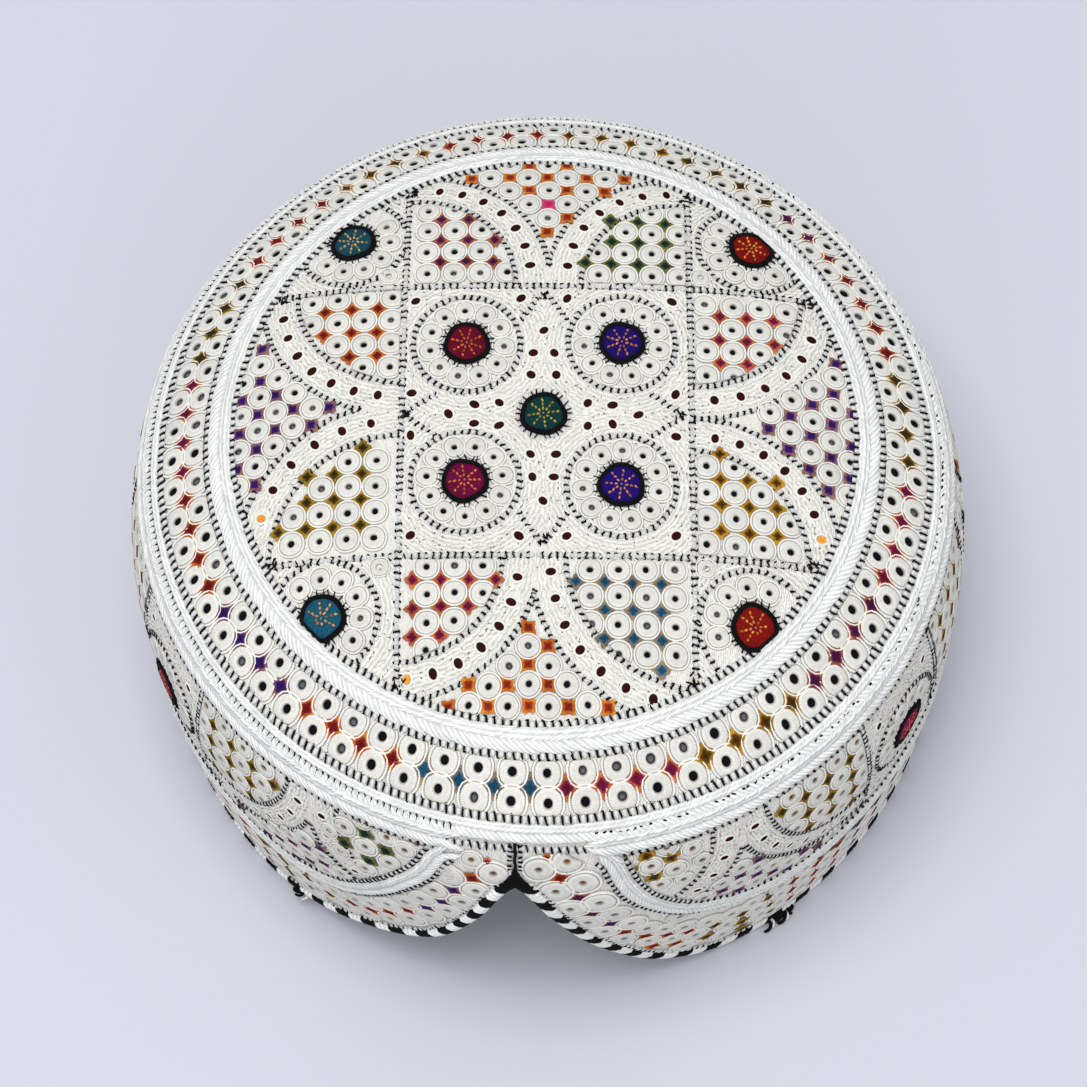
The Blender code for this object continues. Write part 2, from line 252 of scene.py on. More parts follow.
def grid_faces(rows, columns, closed):
    """Quads of a grid of points, and their uvs in shares; closed joins the last column to the first."""
    i, j = np.meshgrid(np.arange(rows - 1), np.arange(columns if closed else columns - 1), indexing="ij")
    i, j = i.ravel(), j.ravel()
    after = (j + 1) % columns
    low, high = i * columns, (i + 1) * columns
    quads = np.stack([low + j, low + after, high + after, high + j], 1)
    across = columns if closed else columns - 1
    u0, u1 = j / across, (j + 1) / across
    v0, v1 = i / (rows - 1), (i + 1) / (rows - 1)
    return quads, corner_uvs((u0, v0), (u1, v0), (u1, v1), (u0, v1))


def fan_faces(first, middle, columns):
    """Triangles from a ring of points to its middle point."""
    j = np.arange(columns)
    centre = np.full(columns, middle)
    quads = np.stack([first + j, first + (j + 1) % columns, centre, centre], 1)
    u0, u1 = j / columns, (j + 1) / columns
    zero, one = np.zeros(columns), np.ones(columns)
    return quads, corner_uvs((u0, zero), (u1, zero), (u1, one), (u1, one))


def capped_faces(rings, sides):
    """Faces of closed rings of points, the last of them joined to one middle point."""
    quads, uvs = grid_faces(rings, sides, True)
    fan, fan_uvs = fan_faces((rings - 1) * sides, rings * sides, sides)
    return np.concatenate([quads, fan]), np.concatenate([uvs, fan_uvs])


def spun(x, y, u, v, turn):
    """Offsets u and v from a point, turned by an angle."""
    c, s = math.cos(turn), math.sin(turn)
    return x + u * c - v * s, y + u * s + v * c


def polar(x, y, reach, angle):
    """The point at a reach and an angle from another."""
    return x + reach * math.cos(angle), y + reach * math.sin(angle)


def ring_angles(sides):
    return 2 * math.pi * np.arange(sides) / sides


def bright(low, high):
    """The bright thread's colour at a strength between two limits."""
    return np.array(THREAD_BRIGHT) * rng.uniform(low, high)


def jitter(reach):
    return rng.uniform(-reach, reach)


EYELET_PROFILE = np.array((
    # share of the way from the hole to the outline, height, painted shade (dark in the grooves, at the hole's
    # edge and the outline)
    (0.00, 0.02, 0.22), (0.05, 0.42, 0.66), (0.18, 0.56, 0.96), (0.44, 0.44, 0.80), (0.70, 0.50, 0.92),
    (0.79, 0.20, 0.30), (0.86, 0.50, 0.95), (0.94, 0.54, 1.02), (1.00, 0.30, 0.70), (1.05, -0.05, 0.30),
))
EYELET_SIDES = 18
EYELET_QUADS, EYELET_UVS = grid_faces(len(EYELET_PROFILE), EYELET_SIDES, True)
EYELET_ANGLES = ring_angles(EYELET_SIDES)


def add_eyelet(work, holes, x, y, radius, hole=0.62, turn=0.0, squareness=2.0, keep=None, lining=False,
               stretch=1.0):
    """Buttonhole-stitched eyelet: a raised ring of thread with a corded edge, round a small dark hole; its
    tints carry painted shade in the grooves, down the hole's edge and round the outline.
    """
    a = EYELET_ANGLES
    c, s = np.abs(np.cos(a)), np.abs(np.sin(a))
    outline = radius / (c ** squareness + s ** squareness) ** (1 / squareness)
    outline = outline * (1 + 0.015 * jitter(1) + 0.012 * np.sin(2 * a + rng.uniform(0, 6.3)))
    hole_x, hole_y = hole * rng.uniform(0.88, 1.12), hole * rng.uniform(0.88, 1.12)
    inner = np.hypot(hole_x * np.cos(a), hole_y * np.sin(a))
    shift = (jitter(0.12), jitter(0.12))
    share, height, shade = EYELET_PROFILE[:, :1], EYELET_PROFILE[:, 1:2], EYELET_PROFILE[:, 2]
    r = inner + (outline - inner) * share
    out = np.minimum(share, 1.0)
    u = r * np.cos(a) * (1 + (stretch - 1) * out) + shift[0] * (1 - out)
    v = r * np.sin(a) + shift[1] * (1 - out)
    px, py = spun(x, y, u, v, turn)
    if keep is not None:
        px, py = keep(px, py)
    points = np.stack([px, py, height * rng.uniform(0.93, 1.07) + 0 * px], -1).reshape(-1, 3)
    # painted shade: the profile's last column darkens the grooves, the hole's edge and the outline where
    # eyelets meet
    tints = np.array(THREAD) * np.repeat(shade * rng.uniform(0.94, 1.02), EYELET_SIDES)[:, None]
    work.add(points, EYELET_QUADS, EYELET_UVS, tints)
    colours = {"edge": RIM_TAN, "middle": BROWN} if lining else {}
    add_hole(holes, px[0].mean(), py[0].mean(), hole_x * 1.04, hole_y * 1.04, turn, **colours)


HOLE_SIDES = 12
PALE_HOLES = 0.24             # share of the crown's holes with a paler middle
HOLE_QUADS, HOLE_UVS = fan_faces(0, HOLE_SIDES, HOLE_SIDES)


def add_hole(holes, x, y, half_x, half_y, turn, edge=None, middle=None, lift=0.06):
    """Floor of a hole; without colours of its own it is black, now and then with a paler middle."""
    if middle is None:
        edge = BLACK
        middle = HOLE_GREY if rng.random() < PALE_HOLES else BLACK
    a = ring_angles(HOLE_SIDES)
    points = np.zeros((HOLE_SIDES + 1, 3))
    points[:-1, 0], points[:-1, 1] = spun(x, y, half_x * np.cos(a), half_y * np.sin(a), turn)
    points[-1, :2] = (x + 0.2 * half_x * jitter(1), y - 0.25 * half_y)
    points[:, 2] = lift
    tints = np.tile(np.array(edge), (HOLE_SIDES + 1, 1))
    tints[-1] = middle
    holes.add(points, HOLE_QUADS, HOLE_UVS, tints)


STAR_SIDES = 16
STAR_QUADS, STAR_UVS = capped_faces(3, STAR_SIDES)


def add_star(work, x, y, reach, felt, turn=0.0, lift=0.50, keep=None):
    """Felt that shows between four eyelets: a four-pointed star with golden thread over its tips."""
    middle, body, tip = (np.array(c) for c in FELTS[felt])
    a = ring_angles(STAR_SIDES)
    point = np.abs(np.cos(2 * a))
    outline = reach * (0.60 + 0.40 * point ** 2.0)
    outline = outline * np.array([rng.uniform(0.86, 1.10) for _ in range(STAR_SIDES)])
    points, tints = [], []
    gold = np.array([rng.uniform(0.40, 0.95) for _ in range(STAR_SIDES)])[:, None]
    gold = gold * (0.30 + 0.70 * point[:, None])
    for share, height, mix in ((1.0, lift - 0.10, 1.0), (0.66, lift, 0.85), (0.46, lift + 0.03, 0.08)):
        px, py = spun(x, y, outline * share * np.cos(a), outline * share * np.sin(a), turn)
        if keep is not None:
            px, py = keep(px, py)
        points.append(np.stack([px, py, np.full(STAR_SIDES, height)], 1))
        tints.append(body * (1 - gold * mix) + tip * gold * mix)
    points.append(np.array([[points[2][:, 0].mean(), points[2][:, 1].mean(), lift]]))
    tints.append(middle[None])
    tints[2] = 0.30 * tints[2] + 0.70 * middle
    work.add(np.concatenate(points), STAR_QUADS, STAR_UVS, np.concatenate(tints) * rng.uniform(0.85, 1.15))


THREAD_SECTIONS = {
    # faces across: place across, height and painted shade of each edge, darker at the thread's sides
    4: ((-1.0, 0.0, 0.58), (-0.72, 0.72, 0.94), (0.0, 1.0, 1.0), (0.72, 0.72, 0.94), (1.0, 0.0, 0.58)),
    3: ((-1.0, 0.0, 0.74), (-0.45, 0.95, 1.0), (0.45, 0.95, 1.0), (1.0, 0.0, 0.74)),
    2: ((-1.0, 0.0, 0.66), (0.0, 1.0, 1.02), (1.0, 0.0, 0.66)),
}


def add_thread(work, path, widths, heights, lifts, tint, faces=4):
    """Rounded thread along a path (n, 2), open below, with a half width, height and lift at each point."""
    section = np.array(THREAD_SECTIONS[faces])
    path = np.asarray(path, float)
    n = len(path)
    along = np.gradient(path, axis=0)
    along /= np.maximum(np.hypot(along[:, 0], along[:, 1]), 1e-9)[:, None]
    across = np.stack([-along[:, 1], along[:, 0]], 1)
    widths, heights, lifts = (np.broadcast_to(np.asarray(q, float), n) for q in (widths, heights, lifts))
    flat = path[:, None, :] + across[:, None, :] * (section[None, :, :1] * widths[:, None, None])
    up = lifts[:, None] + heights[:, None] * section[None, :, 1]
    points = np.concatenate([flat, up[..., None]], -1).reshape(-1, 3)
    # painted shade: the section's last column darkens the thread's sides where it meets the cloth
    tints = np.asarray(tint, float) * np.tile(section[:, 2], n)[:, None]
    quads, uvs = grid_faces(n, len(section), False)
    length = np.concatenate([[0.0], np.cumsum(np.hypot(*np.diff(path, axis=0).T))])
    uvs = np.stack([uvs[..., 0], np.interp(uvs[..., 1] * (n - 1), np.arange(n), length)], -1)
    work.add(points, quads, uvs, tints)


def add_stitch(work, x, y, angle, length, width, height, tint, lift=0.1, full=0.25, end=0.35):
    """One short stitch, of full width between two points and narrowed to a share of it at its ends."""
    t = np.array((-0.5, -full, full, 0.5)) * length
    path = np.stack([x + t * math.cos(angle), y + t * math.sin(angle)], 1)
    add_thread(work, path, np.array((end, 1.0, 1.0, end)) * width / 2,
               np.array((0.10, 1.0, 1.0, 0.10)) * height, lift, tint, faces=2)


BEAD_SIDES = 7
# painted shade: each loop is darker at its foot and a little lighter at its top
BEAD_SHADE = np.repeat((0.55, 1.0, 1.02), (BEAD_SIDES, BEAD_SIDES, 1))
BEAD_QUADS, BEAD_UVS = capped_faces(2, BEAD_SIDES)


def add_bead(work, x, y, angle, half_along, half_across, height, tint, lift=0.0):
    """One small rounded loop of thread."""
    a = ring_angles(BEAD_SIDES)
    rows = []
    for share, up in ((1.0, 0.0), (0.72, 0.82)):
        px, py = spun(x, y, half_along * share * np.cos(a), half_across * share * np.sin(a), angle)
        rows.append(np.stack([px, py, np.full(BEAD_SIDES, lift + height * up)], 1))
    rows.append(np.array([[x, y, lift + height]]))
    work.add(np.concatenate(rows), BEAD_QUADS, BEAD_UVS, np.asarray(tint, float) * BEAD_SHADE[:, None])


# Paths

def resample(path, step):
    """Points evenly spaced along a path, and the direction at each."""
    path = np.asarray(path, float)
    lengths = np.concatenate([[0.0], np.cumsum(np.hypot(*np.diff(path, axis=0).T))])
    count = max(int(round(lengths[-1] / step)), 2)
    at = np.linspace(0, lengths[-1], count + 1)
    points = np.stack([np.interp(at, lengths, path[:, 0]), np.interp(at, lengths, path[:, 1])], 1)
    along = np.gradient(points, axis=0)
    return points, np.arctan2(along[:, 1], along[:, 0])


def circle(x, y, radius, first=0.0, last=360.0, step=2.0):
    a = np.radians(np.linspace(first, last, max(int(abs(last - first) / step), 2) + 1))
    return np.stack([x + radius * np.cos(a), y + radius * np.sin(a)], 1)


def line(x0, y0, x1, y1, count=40):
    t = np.linspace(0, 1, count)[:, None]
    return np.array([[x0, y0]]) * (1 - t) + np.array([[x1, y1]]) * t


def offset_path(path, distance):
    """The path moved sideways, to its left for a distance over zero."""
    along = np.gradient(path, axis=0)
    along /= np.maximum(np.hypot(along[:, 0], along[:, 1]), 1e-9)[:, None]
    return path + np.stack([-along[:, 1], along[:, 0]], 1) * distance


def runs(path, inside):
    """Stretches of a path whose points pass a test, as separate paths."""
    out, current = [], []
    for p in path:
        if inside(p[0], p[1]):
            current.append(p)
        elif current:
            out.append(np.array(current))
            current = []
    if current:
        out.append(np.array(current))
    return [p for p in out if len(p) > 2]


def bar_line(white, black, path, width=1.5, pitch=1.75, slant=12.0, lift=0.0):
    """White loops of thread with a slightly slanted black stitch between each two."""
    points, angles = resample(path, pitch)
    for i, ((x, y), angle) in enumerate(zip(points, angles)):
        lean = angle + math.radians(90 + slant * rng.uniform(0.0, 1.6))
        length = width * rng.uniform(0.85, 1.15)
        add_stitch(black, x, y, lean, length, rng.uniform(0.40, 0.54), 0.36, BLACK, lift=lift + 0.30)
        for side in (-1, 1):
            if rng.random() < 0.62:
                px, py = polar(*polar(x, y, side * 0.44 * length, lean), -side * 0.14, angle)
                add_stitch(black, px, py, angle + jitter(0.5), rng.uniform(0.55, 0.95),
                           rng.uniform(0.28, 0.38), 0.3, BLACK, lift=lift + 0.28)
        if i + 1 < len(points):
            mx, my = (points[i] + points[i + 1]) / 2
            add_bead(white, mx, my, angle, pitch * 0.38, width * 0.47 * rng.uniform(0.9, 1.1),
                     rng.uniform(0.48, 0.62), bright(0.93, 1.0), lift=lift)


def dotted_line(white, black, path, width=1.25, pitch=1.55):
    """Two rows of small black stitches along both sides of a row of white loops."""
    points, angles = resample(path, pitch)
    for i, ((x, y), angle) in enumerate(zip(points, angles)):
        nx, ny = -math.sin(angle), math.cos(angle)
        half = width / 2
        if rng.random() < 0.62:
            lean = math.radians(90 + jitter(34))
            add_stitch(black, x, y, angle + lean, width * rng.uniform(0.9, 1.35), rng.uniform(0.30, 0.42),
                       0.28, BLACK, lift=0.20)
        for side in (-1, 1):
            if rng.random() < 0.80:
                px, py = x + side * half * nx, y + side * half * ny
                lean = math.radians(jitter(40))
                add_stitch(black, px, py, angle + lean, rng.uniform(0.55, 0.95), rng.uniform(0.30, 0.44),
                           0.30, BLACK, lift=0.16)
        if i + 1 < len(points):
            mx, my = (points[i] + points[i + 1]) / 2
            add_bead(white, mx, my, angle, pitch * 0.40, half * rng.uniform(0.8, 1.0),
                     rng.uniform(0.36, 0.48), bright(0.93, 1.0))


def hook_line(white, black, path, width=1.25, pitch=1.6):
    """A row of slanted black stitches with hooked ends, over small white loops."""
    points, angles = resample(path, pitch)
    for i, ((x, y), angle) in enumerate(zip(points, angles)):
        lean = angle + math.radians(rng.uniform(48, 84))
        length = width * rng.uniform(0.80, 1.15)
        add_stitch(black, x, y, lean, length, rng.uniform(0.34, 0.48), 0.30, BLACK, lift=0.22)
        for side in (-1, 1):
            if rng.random() < 0.70:
                px, py = polar(*polar(x, y, side * 0.45 * length, lean), -side * 0.2, angle)
                add_stitch(black, px, py, angle + rng.uniform(-0.7, 0.4), rng.uniform(0.5, 0.8),
                           rng.uniform(0.28, 0.40), 0.28, BLACK, lift=0.20)
        if i + 1 < len(points):
            mx, my = (points[i] + points[i + 1]) / 2
            add_bead(white, mx, my, angle + 0.5, pitch * 0.42, width * rng.uniform(0.36, 0.46),
                     rng.uniform(0.34, 0.46), bright(0.93, 1.0))


def stitched_rows(white, paths, holes_at, width=0.95, height=0.24, link=1.5, reach=1.7):
    """Uneven short stitches in rows that bend round a plain white field's holes, with small dark grey marks
    painted as shade in the gaps.
    """
    for path in paths:
        points, angles = resample(path, link)
        if len(points) < 3:
            continue
        for hx, hy in holes_at:
            dx, dy = points[:, 0] - hx, points[:, 1] - hy
            d = np.maximum(np.hypot(dx, dy), 0.05)
            push = np.clip(reach - d, 0, None) * 0.75
            points = points + np.stack([dx / d * push, dy / d * push], 1)
        for (x, y), angle in zip(points, angles):
            shade = np.array(THREAD) * rng.uniform(1.0, 1.13)
            add_short_stitch(white, x + jitter(0.12), y + jitter(0.12),
                             angle + jitter(0.45), link * rng.uniform(1.10, 1.55),
                             width * rng.uniform(0.85, 1.1), height * rng.uniform(0.8, 1.2), shade)
            # painted shade: small dark grey marks stand for the shaded gaps between the stitches
            if rng.random() < 0.22:
                away = jitter(0.6)
                add_short_stitch(white, x - away * math.sin(angle), y + away * math.cos(angle),
                                 angle + jitter(1.4), rng.uniform(0.35, 0.75), 0.22, 0.12, PAINTED_GAP_SHADE,
                                 lift=0.22)


def add_short_stitch(work, x, y, angle, length, width, height, tint, lift=0.03):
    """One stitch of the plain white fields, low and with narrow ends."""
    add_stitch(work, x, y, angle, length, width, height, tint, lift, full=0.22, end=0.3)


def herringbone(white, path, width, thickness, pitch=1.3, lift=0.20, slant=21.0):
    """Braid of long slanted strands in two rows that meet along the middle."""
    points, angles = resample(path, pitch)
    length = width * 0.5 / math.sin(math.radians(slant)) * 1.08
    t = np.linspace(-0.56, 0.60, 6)
    share = np.array((0.45, 0.92, 1.0, 1.0, 0.90, 0.40))
    rise = np.array((0.30, 0.70, 0.92, 1.0, 0.95, 0.55))
    for (x, y), angle in zip(points, angles):
        for side in (-1, 1):
            shade = bright(0.86, 1.02)
            direction = angle + side * math.radians(slant + jitter(5))
            nx, ny = -math.sin(angle), math.cos(angle)
            cx, cy = x + side * nx * width * 0.25, y + side * ny * width * 0.25
            strand = np.stack(polar(cx, cy, t * length, direction), 1)
            bow = side * 0.10 * width * (0.25 - t ** 2)
            strand = strand + np.stack([bow * nx, bow * ny], 1)
            add_thread(white, strand, pitch * 0.52 * share, thickness * rise * rng.uniform(0.90, 1.06),
                       lift * share, shade, faces=3)


# Materials

def new_material(name, roughness):
    material = bpy.data.materials.new(name)
    material.use_nodes = True
    tree = material.node_tree
    shader = tree.nodes["Principled BSDF"]
    shader.inputs["Roughness"].default_value = roughness
    return material, tree, shader


def add_node(tree, kind, **inputs):
    node = tree.nodes.new(kind)
    for key, value in inputs.items():
        node.inputs[key.replace("_", " ")].default_value = value
    return node


def math_node(tree, operation, a, b=None):
    node = tree.nodes.new("ShaderNodeMath")
    node.operation = operation
    for k, value in enumerate((a, b)):
        if value is None:
            continue
        if isinstance(value, (int, float)):
            node.inputs[k].default_value = value
        else:
            tree.links.new(value, node.inputs[k])
    return node.outputs[0]


def scaled_noise(tree, scale, detail=3.0, roughness=0.6, distortion=0.0):
    """Noise over the cap's own coordinates; scale is in features per metre."""
    coordinates = tree.nodes.new("ShaderNodeTexCoord")
    noise = add_node(tree, "ShaderNodeTexNoise", Scale=scale, Detail=detail, Roughness=roughness,
                     Distortion=distortion)
    tree.links.new(coordinates.outputs["Object"], noise.inputs["Vector"])
    return noise.outputs["Fac"]


def uv_wave(tree, across, along):
    """A ripple over a shape's own uvs: across ripples around it, along ripples from end to end."""
    uv = tree.nodes.new("ShaderNodeUVMap")
    uv.uv_map = "UVMap"
    split = tree.nodes.new("ShaderNodeSeparateXYZ")
    tree.links.new(uv.outputs["UV"], split.inputs[0])
    phase = math_node(tree, "ADD", math_node(tree, "MULTIPLY", split.outputs[0], across * 2 * math.pi),
                      math_node(tree, "MULTIPLY", split.outputs[1], along * 2 * math.pi))
    wave = math_node(tree, "MULTIPLY_ADD", math_node(tree, "SINE", phase), 0.5)
    tree.nodes[-1].inputs[2].default_value = 0.5
    return wave


def tinted(tree, shader, low, high, noise, ripple=None, depth=0.0):
    """Base colour from the mesh's tint, made darker or lighter by a noise, and darker in a ripple's lows as
    painted shade between the turns.
    """
    attribute = tree.nodes.new("ShaderNodeAttribute")
    attribute.attribute_name = "tint"
    spread = tree.nodes.new("ShaderNodeMapRange")
    spread.inputs["From Min"].default_value = 0.3
    spread.inputs["From Max"].default_value = 0.7
    spread.inputs["To Min"].default_value = low
    spread.inputs["To Max"].default_value = high
    tree.links.new(noise, spread.inputs["Value"])
    mix = tree.nodes.new("ShaderNodeVectorMath")
    mix.operation = "SCALE"
    tree.links.new(attribute.outputs["Color"], mix.inputs[0])
    amount = spread.outputs[0]
    if ripple is not None:
        amount = math_node(tree, "MULTIPLY", amount,
                           math_node(tree, "ADD", math_node(tree, "MULTIPLY", ripple, depth), 1.0 - depth))
    tree.links.new(amount, mix.inputs["Scale"])
    tree.links.new(mix.outputs[0], shader.inputs["Base Color"])


def bump(tree, shader, height, distance):
    node = add_node(tree, "ShaderNodeBump", Distance=distance, Strength=0.9)
    tree.links.new(height, node.inputs["Height"])
    tree.links.new(node.outputs[0], shader.inputs["Normal"])


def thread_material(name, across, along, roughness=0.62, sheen=0.12, low=0.90, high=1.04, depth=0.22,
                    distance=0.00016, gloss=0.3):
    """Cotton thread: fine ripples of its turns, soft sheen, slightly uneven colour and painted shade in the
    grooves between turns.
    """
    material, tree, shader = new_material(name, roughness)
    shader.inputs["Sheen Weight"].default_value = sheen
    shader.inputs["Sheen Roughness"].default_value = 0.5
    shader.inputs["Specular IOR Level"].default_value = gloss
    wave = uv_wave(tree, across, along)
    # painted shade: the colour is darkened in the wave's lows, the grooves between the thread's turns
    tinted(tree, shader, low, high, scaled_noise(tree, 900.0, 4.0), wave, depth)
    fuzz = scaled_noise(tree, 5200.0, 2.0, 0.7)
    ripple = math_node(tree, "MULTIPLY", wave, 0.65)
    height = math_node(tree, "ADD", ripple, math_node(tree, "MULTIPLY", fuzz, 0.5))
    bump(tree, shader, height, distance)
    return material


def cloth_material(name):
    """Off-white cotton ground, closely stitched, with fine needle marks."""
    material, tree, shader = new_material(name, 0.8)
    shader.inputs["Sheen Weight"].default_value = 0.1
    shader.inputs["Specular IOR Level"].default_value = 0.25
    tinted(tree, shader, 0.80, 1.12, scaled_noise(tree, 1500.0, 4.0, 0.7, 1.6))
    coordinates = tree.nodes.new("ShaderNodeTexCoord")
    wave = add_node(tree, "ShaderNodeTexWave", Scale=620.0, Distortion=9.0, Detail=2.0)
    tree.links.new(coordinates.outputs["Object"], wave.inputs["Vector"])
    fuzz = scaled_noise(tree, 1700.0, 4.0, 0.7, 1.6)
    height = math_node(tree, "ADD", math_node(tree, "MULTIPLY", wave.outputs["Fac"], 0.5), fuzz)
    bump(tree, shader, height, 0.00045)
    return material


def felt_material(name):
    """Felt or dyed cloth with a fibrous surface."""
    material, tree, shader = new_material(name, 0.9)
    shader.inputs["Specular IOR Level"].default_value = 0.08
    tinted(tree, shader, 0.55, 1.25, scaled_noise(tree, 2400.0, 4.0, 0.7))
    bump(tree, shader, scaled_noise(tree, 5200.0, 3.0, 0.8), 0.00025)
    return material


def hole_material(name):
    material, tree, shader = new_material(name, 0.95)
    shader.inputs["Specular IOR Level"].default_value = 0.05
    tinted(tree, shader, 0.7, 1.3, scaled_noise(tree, 2600.0, 3.0))
    return material


EYELET_THREAD = thread_material("eyelet_thread", 40, 0.0, depth=0.13, distance=0.00013)
TWIST_THREAD = thread_material("twisted_thread", 1.0, 2.6)
LOOP_THREAD = thread_material("loop_thread", 6, 2.0, depth=0.12)
BLACK_THREAD = thread_material("black_thread", 1.0, 2.6, roughness=0.85, sheen=0.0, low=0.6, high=1.5,
                               gloss=0.08)
BRAID_THREAD = thread_material("braid_thread", 3.0, 0.35, roughness=0.42, sheen=0.15, depth=0.25)
CLOTH = cloth_material("ground_cloth")
FELT = felt_material("felt")
HOLE = hole_material("hole_floor")


# Ground cloth

def shell(outer, inner):
    """Closed wall between two closed grids of points of equal size (rows, columns, 3)."""
    rows, columns = outer.shape[:2]
    quads, uvs = grid_faces(rows, columns, True)
    half = rows * columns
    faces, face_uvs = [quads, quads[:, ::-1] + half], [uvs, uvs[:, ::-1]]
    j = np.arange(columns)
    after = (j + 1) % columns
    for first, flipped in ((0, True), (half - columns, False)):
        rim = first + np.stack([j, after, half + after, half + j], 1)
        faces.append(rim[:, ::-1] if flipped else rim)
        face_uvs.append(np.zeros((columns, 4, 2)))
    both = np.concatenate([outer.reshape(-1, 3), inner.reshape(-1, 3)])
    return both, np.concatenate(faces), np.concatenate(face_uvs)


def ground_tints(count):
    """Tints of a wall's points, the inner half a little darker."""
    shade = np.concatenate([np.full(count // 2, 1.0), np.full(count - count // 2, 0.96)])
    return np.array(THREAD) * shade[:, None]


def make_crown_cloth():
    """The crown's ground: a domed disc 2.2 mm thick, plain underneath."""
    rings, sides = 28, 120
    radii = SEAM_RADIUS * np.sin(0.5 * np.pi * np.linspace(0, 1, rings) ** 0.9)
    radii[0] = 0.05
    a = 2 * np.pi * np.arange(sides) / sides
    wobble = 0.05 * np.sin(5 * a)[None, :] * (radii[:, None] / SEAM_RADIUS)
    x, y = radii[:, None] * np.sin(a), -radii[:, None] * np.cos(a)
    outer = np.stack([x, y, wobble - 0.02], -1)
    under = radii * (SEAM_RADIUS - WALL) / SEAM_RADIUS
    xi, yi = under[:, None] * np.sin(a), -under[:, None] * np.cos(a)
    inner = np.stack([xi, yi, np.full_like(xi, -WALL)], -1)
    work = Work("crown_cloth", on_crown)
    points, quads, uvs = shell(outer, inner)
    work.add(points, quads, uvs, ground_tints(len(points)))
    work.build(CLOTH, "crown_cloth", ["crown"])


def make_band_cloth():
    """The band's ground: the wall from its arched lower edge up to the seam, plain inside."""
    columns, rows = 320, 18
    azimuths = ARCH_APEX + 360.0 * np.arange(columns) / columns
    low = np.array([edge_height(a) for a in azimuths])
    share = np.sin(0.5 * np.pi * np.linspace(0, 1, rows))[:, None]
    z = low[None, :] + (SEAM_HEIGHT - 0.3 - low[None, :]) * share
    s = np.radians(azimuths)[None, :] * WIDEST_RADIUS + 0 * z
    outer = np.stack([s, z, np.full_like(z, -0.02)], -1)
    inner = np.stack([s, z, np.full_like(z, -WALL)], -1)
    work = Work("band_cloth", on_band)
    points, quads, uvs = shell(outer, inner)
    work.add(points, quads, uvs, ground_tints(len(points)))
    work.build(CLOTH, "band_cloth", ["side_band"])


make_crown_cloth()
make_band_cloth()


# Crown embroidery

crown_eyelets = Work("crown_eyelets", on_crown)
rim_eyelets = Work("rim_eyelets", on_crown)
crown_holes = Work("crown_hole_floors", on_crown)
crown_stars = Work("crown_stars", on_crown)
crown_white = Work("crown_white_loops", on_crown)
crown_black = Work("crown_black_stitches", on_crown)
crown_rows = Work("crown_stitched_rows", on_crown)

LINE_WEST, LINE_EAST, LINE_NORTH, LINE_SOUTH = -30.8, 32.2, 32.0, -33.0
INNER_LIMIT = 68.3            # bar line inside the ring braid
ARC_HALF = 3.9                # from the holes of an arc to its dotted edges
ARCS = (
    # corner x, corner y, angle of the first hole, of the last, radius, holes, orange filling in the last
    (LINE_WEST, LINE_NORTH, 11.0, 76.0, 28.5, 7, False),
    (LINE_EAST, LINE_NORTH, 169.0, 100.0, 27.9, 7, False),
    (LINE_WEST, LINE_NORTH, -168.0, -101.0, 28.1, 7, False),
    (LINE_WEST, LINE_SOUTH, 102.0, 160.0, 32.0, 6, True),
    (LINE_EAST, LINE_NORTH, -80.0, -21.0, 28.8, 6, False),
    (LINE_EAST, LINE_SOUTH, 80.0, 14.0, 28.6, 7, True),
    (LINE_WEST, LINE_SOUTH, -11.0, -85.0, 26.3, 7, True),
    (LINE_EAST, LINE_SOUTH, -173.0, -107.0, 31.2, 7, False),
)
GRID_PITCH = 5.97
GRIDS = (
    # arc, outward x and y, along x and y, first step outward, first step along, stars in each row, felt
    (0, 0, 1, 1, 0, 6.3, 7.6, (3, 3, 2), "plum"),
    (1, 0, 1, -1, 0, 5.8, 5.3, (4, 3, 3), "green"),
    (2, -1, 0, 0, -1, 5.8, 5.5, (3, 3, 2), "red"),
    (3, -1, 0, 0, 1, 8.1, 7.2, (4, 3, 3, 1), "olive"),
    (4, 1, 0, 0, -1, 6.4, 7.0, (3, 3, 2), "crimson"),
    (5, 1, 0, 0, 1, 5.8, 6.2, (4, 3, 3), "amber"),
    (6, 0, -1, 1, 0, 5.4, 3.2, (4, 3, 2), "crimson"),
    (7, 0, -1, -1, 0, 6.0, 7.2, (4, 3, 3, 1), "blue"),
)
V_FIELDS = (
    # the two arcs, apex x and y, outward angle, step outward, step across, felt
    (0, 1, 0.6, 54.6, 90.0, 4.15, 4.3, "orange"),
    (2, 3, -50.6, -1.8, 180.0, 3.95, 4.15, "violet"),
    (4, 5, 48.9, -2.1, -5.0, 4.55, 3.95, "violet"),
    (7, 6, -3.0, -56.6, 270.0, 3.95, 4.2, "orange"),
)
